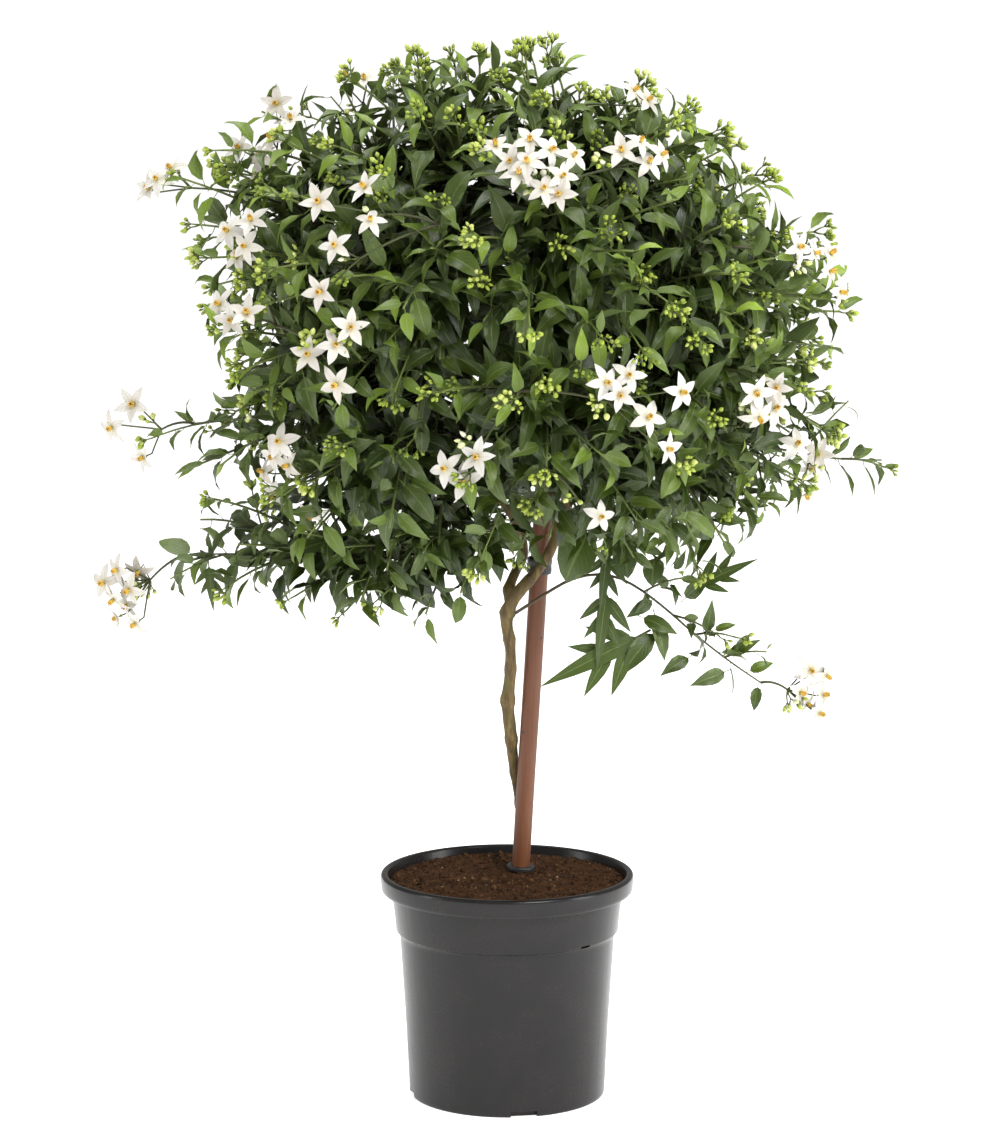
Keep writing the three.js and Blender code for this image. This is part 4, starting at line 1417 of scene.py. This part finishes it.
def cut(piece, cutters):
    """A piece less its cutters, which are removed."""
    for cutter in cutters:
        change = piece.modifiers.new("cut", "BOOLEAN")
        change.operation, change.object, change.solver = "DIFFERENCE", cutter, "EXACT"
    bpy.context.view_layer.update()
    made = bpy.data.meshes.new_from_object(piece.evaluated_get(bpy.context.evaluated_depsgraph_get()))
    piece.modifiers.clear()
    piece.data = made
    for cutter in cutters:
        bpy.data.objects.remove(cutter)


def block(size, at, turn):
    """A cutter block, turned about the pot's axis."""
    x, y, z = (s / 2 for s in size)
    corners = [(sx * x, sy * y, sz * z) for sx in (-1, 1) for sy in (-1, 1) for sz in (-1, 1)]
    quads = [(0, 1, 3, 2), (4, 6, 7, 5), (0, 4, 5, 1), (2, 3, 7, 6), (0, 2, 6, 4), (1, 5, 7, 3)]
    c, s = math.cos(turn), math.sin(turn)
    placed = []
    for px, py, pz in corners:
        px, py = px + at[0], py + at[1]
        placed.append((px * c - py * s, px * s + py * c, pz + at[2]))
    mesh = bpy.data.meshes.new("cutter")
    mesh.from_pydata(placed, [], quads)
    return added("cutter", mesh)


def pot_piece(material):
    piece = plain_piece("nursery_pot", lathe(pot_profile(), 160), material, 35)
    cutters = [block((9 * MM, 20 * MM, 9 * MM), (72 * MM, 0, 0), a) for a in NOTCH_ANGLES]
    cutters += [block((8 * MM, 9 * MM, 2.2 * MM), (81 * MM, 0, 126.6 * MM), a) for a in SLOT_ANGLES]
    cut(piece, cutters)
    piece.data.set_sharp_from_angle(angle=math.radians(35))
    return outfitted(piece, "pot_plastic", "pot")


SOIL_EDGE_Z = 163.8 * MM
SOIL_RISE = 0.8 * MM
SOIL_FLOOR_Z = 2.9 * MM
SOIL_WAVES = 26


def soil_waves():
    """Waves that cross at random on the soil: each one's angle, rate, phase and height."""
    waves = []
    for _ in range(SOIL_WAVES):
        angle, rate, phase = random.uniform(0, 6.28), random.uniform(60, 420), random.uniform(0, 6.28)
        waves.append((angle, rate, phase, 0.055 * MM * 420 / (rate + 60)))
    return waves


def soil_height(x, y, edge, waves):
    """The soil's surface: nearly flat, a little heaped and rolling, and calmer at the pot's wall."""
    share = np.hypot(x, y) / edge
    fade = np.clip((1 - share) * 12, 0.25, 1)
    bumps = 0
    for angle, rate, phase, size in waves:
        bumps += size * np.sin(rate * (x * math.cos(angle) + y * math.sin(angle)) + phase)
    return SOIL_EDGE_Z + SOIL_RISE * np.clip(1 - share**1.6, 0, 1) + fade * bumps


def soil_piece(material, edge, waves):
    """Peat to the pot's floor, its surface rolling and rough."""
    sides, rings = 180, 56
    angles = round_angles(sides)
    points = []
    for i in range(rings + 1):
        x, y = edge * i / rings * np.cos(angles), edge * i / rings * np.sin(angles)
        z = soil_height(x, y, edge, waves) + random.normal(0, 0.3 * MM, sides)
        points.append(np.stack([x, y, z], 1) if i else np.array([[0, 0, z[0]]]))
    side_profile = [(84.8, 155.9), (83.6, 147), (82.3, 137.5), (81.3, 129.2), (79.6, 127.2), (78.4, 124.9)]
    side_profile += [(78.2, 121.5), (76.6, 97), (74.4, 64), (72.6, 30), (70.4, 4.6), (69.0, 2.9)]
    for r, z in side_profile:
        points.append(np.stack([r * MM * np.cos(angles), r * MM * np.sin(angles), np.full(sides, z * MM)], 1))
    points.append(np.array([[0, 0, SOIL_FLOOR_Z]]))
    starts = [1 + sides * k for k in range(rings + len(side_profile))]
    faces = [cap_faces(0, starts[0], sides, True)]
    for low, high in zip(starts[:-1], starts[1:]):
        faces += ring_faces(low, high, sides)
    faces.append(cap_faces(starts[-1] + sides, starts[-1], sides, False))
    piece = plain_piece("peat_soil", Shape(np.vstack(points), np.vstack(faces)), material, 180)
    return outfitted(piece, "peat", "soil")


CRUMB_COUNT = 2500
CRUMB_KINDS = 8


def crumb_kinds():
    """Lumpy closed grains of about unit size: an icosahedron pushed out of shape."""
    golden = (1 + math.sqrt(5)) / 2
    corners = []
    for a in (-1, 1):
        for b in (-golden, golden):
            corners += [(0, a, b), (a, b, 0), (b, 0, a)]
    corners = unit(np.array(corners))
    gaps = np.linalg.norm(corners[:, None] - corners[None], axis=2)
    near = (gaps > 0.1) & (gaps < 1.1)
    faces = []
    for i in range(12):
        for j in range(i + 1, 12):
            for k in range(j + 1, 12):
                if near[i, j] and near[j, k] and near[i, k]:
                    normal = np.cross(corners[j] - corners[i], corners[k] - corners[i])
                    faces.append((i, j, k) if np.dot(normal, corners[i]) > 0 else (i, k, j))
    kinds = []
    for _ in range(CRUMB_KINDS):
        stretch = random.uniform(0.45, 1.25, 3)
        points = corners * random.uniform(0.75, 1.2, (12, 1)) * stretch
        kinds.append(Shape(points, faces, np.full((20, 3, 2), 0.5)))
    return kinds


def soil_crumbs(material, edge, waves):
    """Loose crumbs, some of them larger, and a few pale specks lying on the soil."""
    batch = Batch()
    kinds = crumb_kinds()
    for _ in range(CRUMB_COUNT):
        r = edge * math.sqrt(random.uniform(0, 0.97))
        angle = random.uniform(0, 2 * math.pi)
        x, y = r * math.cos(angle), r * math.sin(angle)
        ground = float(soil_height(x, y, edge, waves))
        size = random.uniform(0.35, 1.3) * MM * (1.9 if random.uniform() < 0.1 else 1)
        kind = kinds[random.integers(0, CRUMB_KINDS)]
        at = np.array([x, y, ground + 0.2 * size])
        way, face = random.normal(0, 1, 3), random.normal(0, 1, 3)
        points = posed_once(kind.points, at, way, face, size)
        column = CRUMB_SHADES - 1 if random.uniform() < 0.012 else int(random.integers(0, CRUMB_SHADES - 2))
        batch.add(points, kind.faces, map_places(kind.places, column, 0, CRUMB_SHADES, 1), kind.rim)
    return outfitted(batch.piece("soil_crumbs", [material]), "peat")


# ---- Stage ----

CAMERA_AT = (0.0, -3.08, 0.895)
CAMERA_DOWN = math.radians(9.14)
CAMERA_YAW = math.radians(0.0996)
FOCAL_PIXELS = 4200
FRAME_PIXELS = 1140
SENSOR = 36


def camera():
    data = bpy.data.cameras.new("camera")
    data.sensor_width = SENSOR
    data.lens = FOCAL_PIXELS / FRAME_PIXELS * SENSOR
    data.clip_end = 100
    made = added("camera", data)
    made.location = CAMERA_AT
    made.rotation_euler = (math.pi / 2 - CAMERA_DOWN, 0, CAMERA_YAW)
    bpy.context.scene.camera = made


# Each soft light: its name, its place, its panel's width and height, and its watts.
LIGHTS = [
    ("key", (1.5, -2.4, 2.7), (1.4, 1.4), 92),
    ("top", (-0.2, 0.3, 2.9), (1.8, 1.8), 62),
    ("left_panel", (-2.2, -0.5, 0.8), (0.5, 2.2), 17),
    ("right_panel", (2.2, -0.7, 0.8), (0.6, 2.2), 36),
]
LIGHTS_AIM = (0, 0, 0.5)
FILL_COLOUR, FILL_STRENGTH = (1.0, 0.985, 0.96, 1), 0.36
FLOOR_REACH = 40


def soft_light(name, at, size, watts):
    data = bpy.data.lights.new(name, "AREA")
    data.shape, data.size, data.size_y = "RECTANGLE", size[0], size[1]
    data.energy = watts
    made = added(name, data)
    made.location = at
    way = np.array(LIGHTS_AIM, float) - np.array(at, float)
    made.rotation_euler = Vector(way).to_track_quat("-Z", "Y").to_euler()


def floor():
    mesh = bpy.data.meshes.new("floor")
    corners = [(x * FLOOR_REACH, y * FLOOR_REACH, 0) for x, y in ((-1, -1), (1, -1), (1, 1), (-1, 1))]
    mesh.from_pydata(corners, [], [(0, 1, 2, 3)])
    mesh.materials.append(floor_material())
    added("floor", mesh)


def sky():
    """White where the camera sees it, and a weaker, warmer fill for everything it lights."""
    world = bpy.data.worlds.new("studio")
    world.use_nodes = True
    tree = world.node_tree
    fill = tree.nodes["Background"]
    fill.inputs["Color"].default_value = FILL_COLOUR
    fill.inputs["Strength"].default_value = FILL_STRENGTH
    backdrop = tree.nodes.new("ShaderNodeBackground")
    backdrop.inputs["Color"].default_value = (1.0, 1.0, 1.0, 1)
    mix = tree.nodes.new("ShaderNodeMixShader")
    tree.links.new(tree.nodes.new("ShaderNodeLightPath").outputs["Is Camera Ray"], mix.inputs[0])
    tree.links.new(fill.outputs[0], mix.inputs[1])
    tree.links.new(backdrop.outputs[0], mix.inputs[2])
    tree.links.new(mix.outputs[0], tree.nodes["World Output"].inputs[0])
    bpy.context.scene.world = world


def studio():
    """A pale floor under a white sky, a soft key from the upper right in front, and three soft panels."""
    floor()
    sky()
    for light in LIGHTS:
        soft_light(*light)
    bpy.context.scene.view_settings.view_transform = "Standard"


# ---- Building ----

camera()
studio()

leaf = leaf_material()
twig = twig_material()
bud = bud_material()
petal = petal_material()
anther = anther_material()
bark = bark_material()
rubber = rubber_material()

pot_piece(pot_material())
soil_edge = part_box("soil")[1].x + 0.2 * MM
waves = soil_waves()
soil_piece(soil_material(), soil_edge, waves)
soil_crumbs(crumb_material(), soil_edge, waves)
cane_piece(cane_material())
band_piece("cane_collar_ring", "cane_collar", CANE_RADIUS + 0.3 * MM, CANE_RADIUS + 3.6 * MM, rubber)
band_piece("top_tie_band", "top_tie", CANE_RADIUS + 0.3 * MM, CANE_RADIUS + 2.2 * MM, rubber, 0.15 * MM)
knobbly_stem("main_woody_stem", "main_stem", main_middle, main_radius, "bark", bark, 0.12)
knobbly_stem("left_woody_stem", "left_stem", left_middle, left_radius, "bark", bark, 0.30)

grow_spines()
fill_head()
fill_core()
grow_strays()
grow_trails()

FLOWER_GROUPS = {
    "flowers_upper": ["top_front", "top_right", "crown_left", "crown_right", "upper_left", "far_left"],
    "flowers_left": ["left_high", "left_brow", "left_cheek", "left_mid", "left_three", "left_low"],
    "flowers_right": ["front_low", "front_right", "under_right", "right_mid", "right_low", "right_edge"],
    "flowers_trailing": ["trail_left_upper", "trail_left_lower", "trail_right_lower"],
    "flowers_back": ["back_high", "back_left", "back_right", "back_low"],
}
for group, names in FLOWER_GROUPS.items():
    open_flowers = Batch()
    for name in names:
        grow_cluster(open_flowers, name)
    nodes = ["flowers_" + name for name in names]
    outfitted(open_flowers.piece("open_" + group, [petal, anther, bud]), "flower", *nodes)

kinds = leaf_kinds()
for part, leaves in foliage.items():
    nodes = [s for s in SHOOTS if part_of(s) == part]
    outfitted(leaves.piece("leaves_" + part, kinds, leaf), "leaf", *nodes)
outfitted(twigs.piece("green_twigs", [twig]), "bark", *SHOOTS)
outfitted(buds.piece("flower_buds", [bud]), "flower")
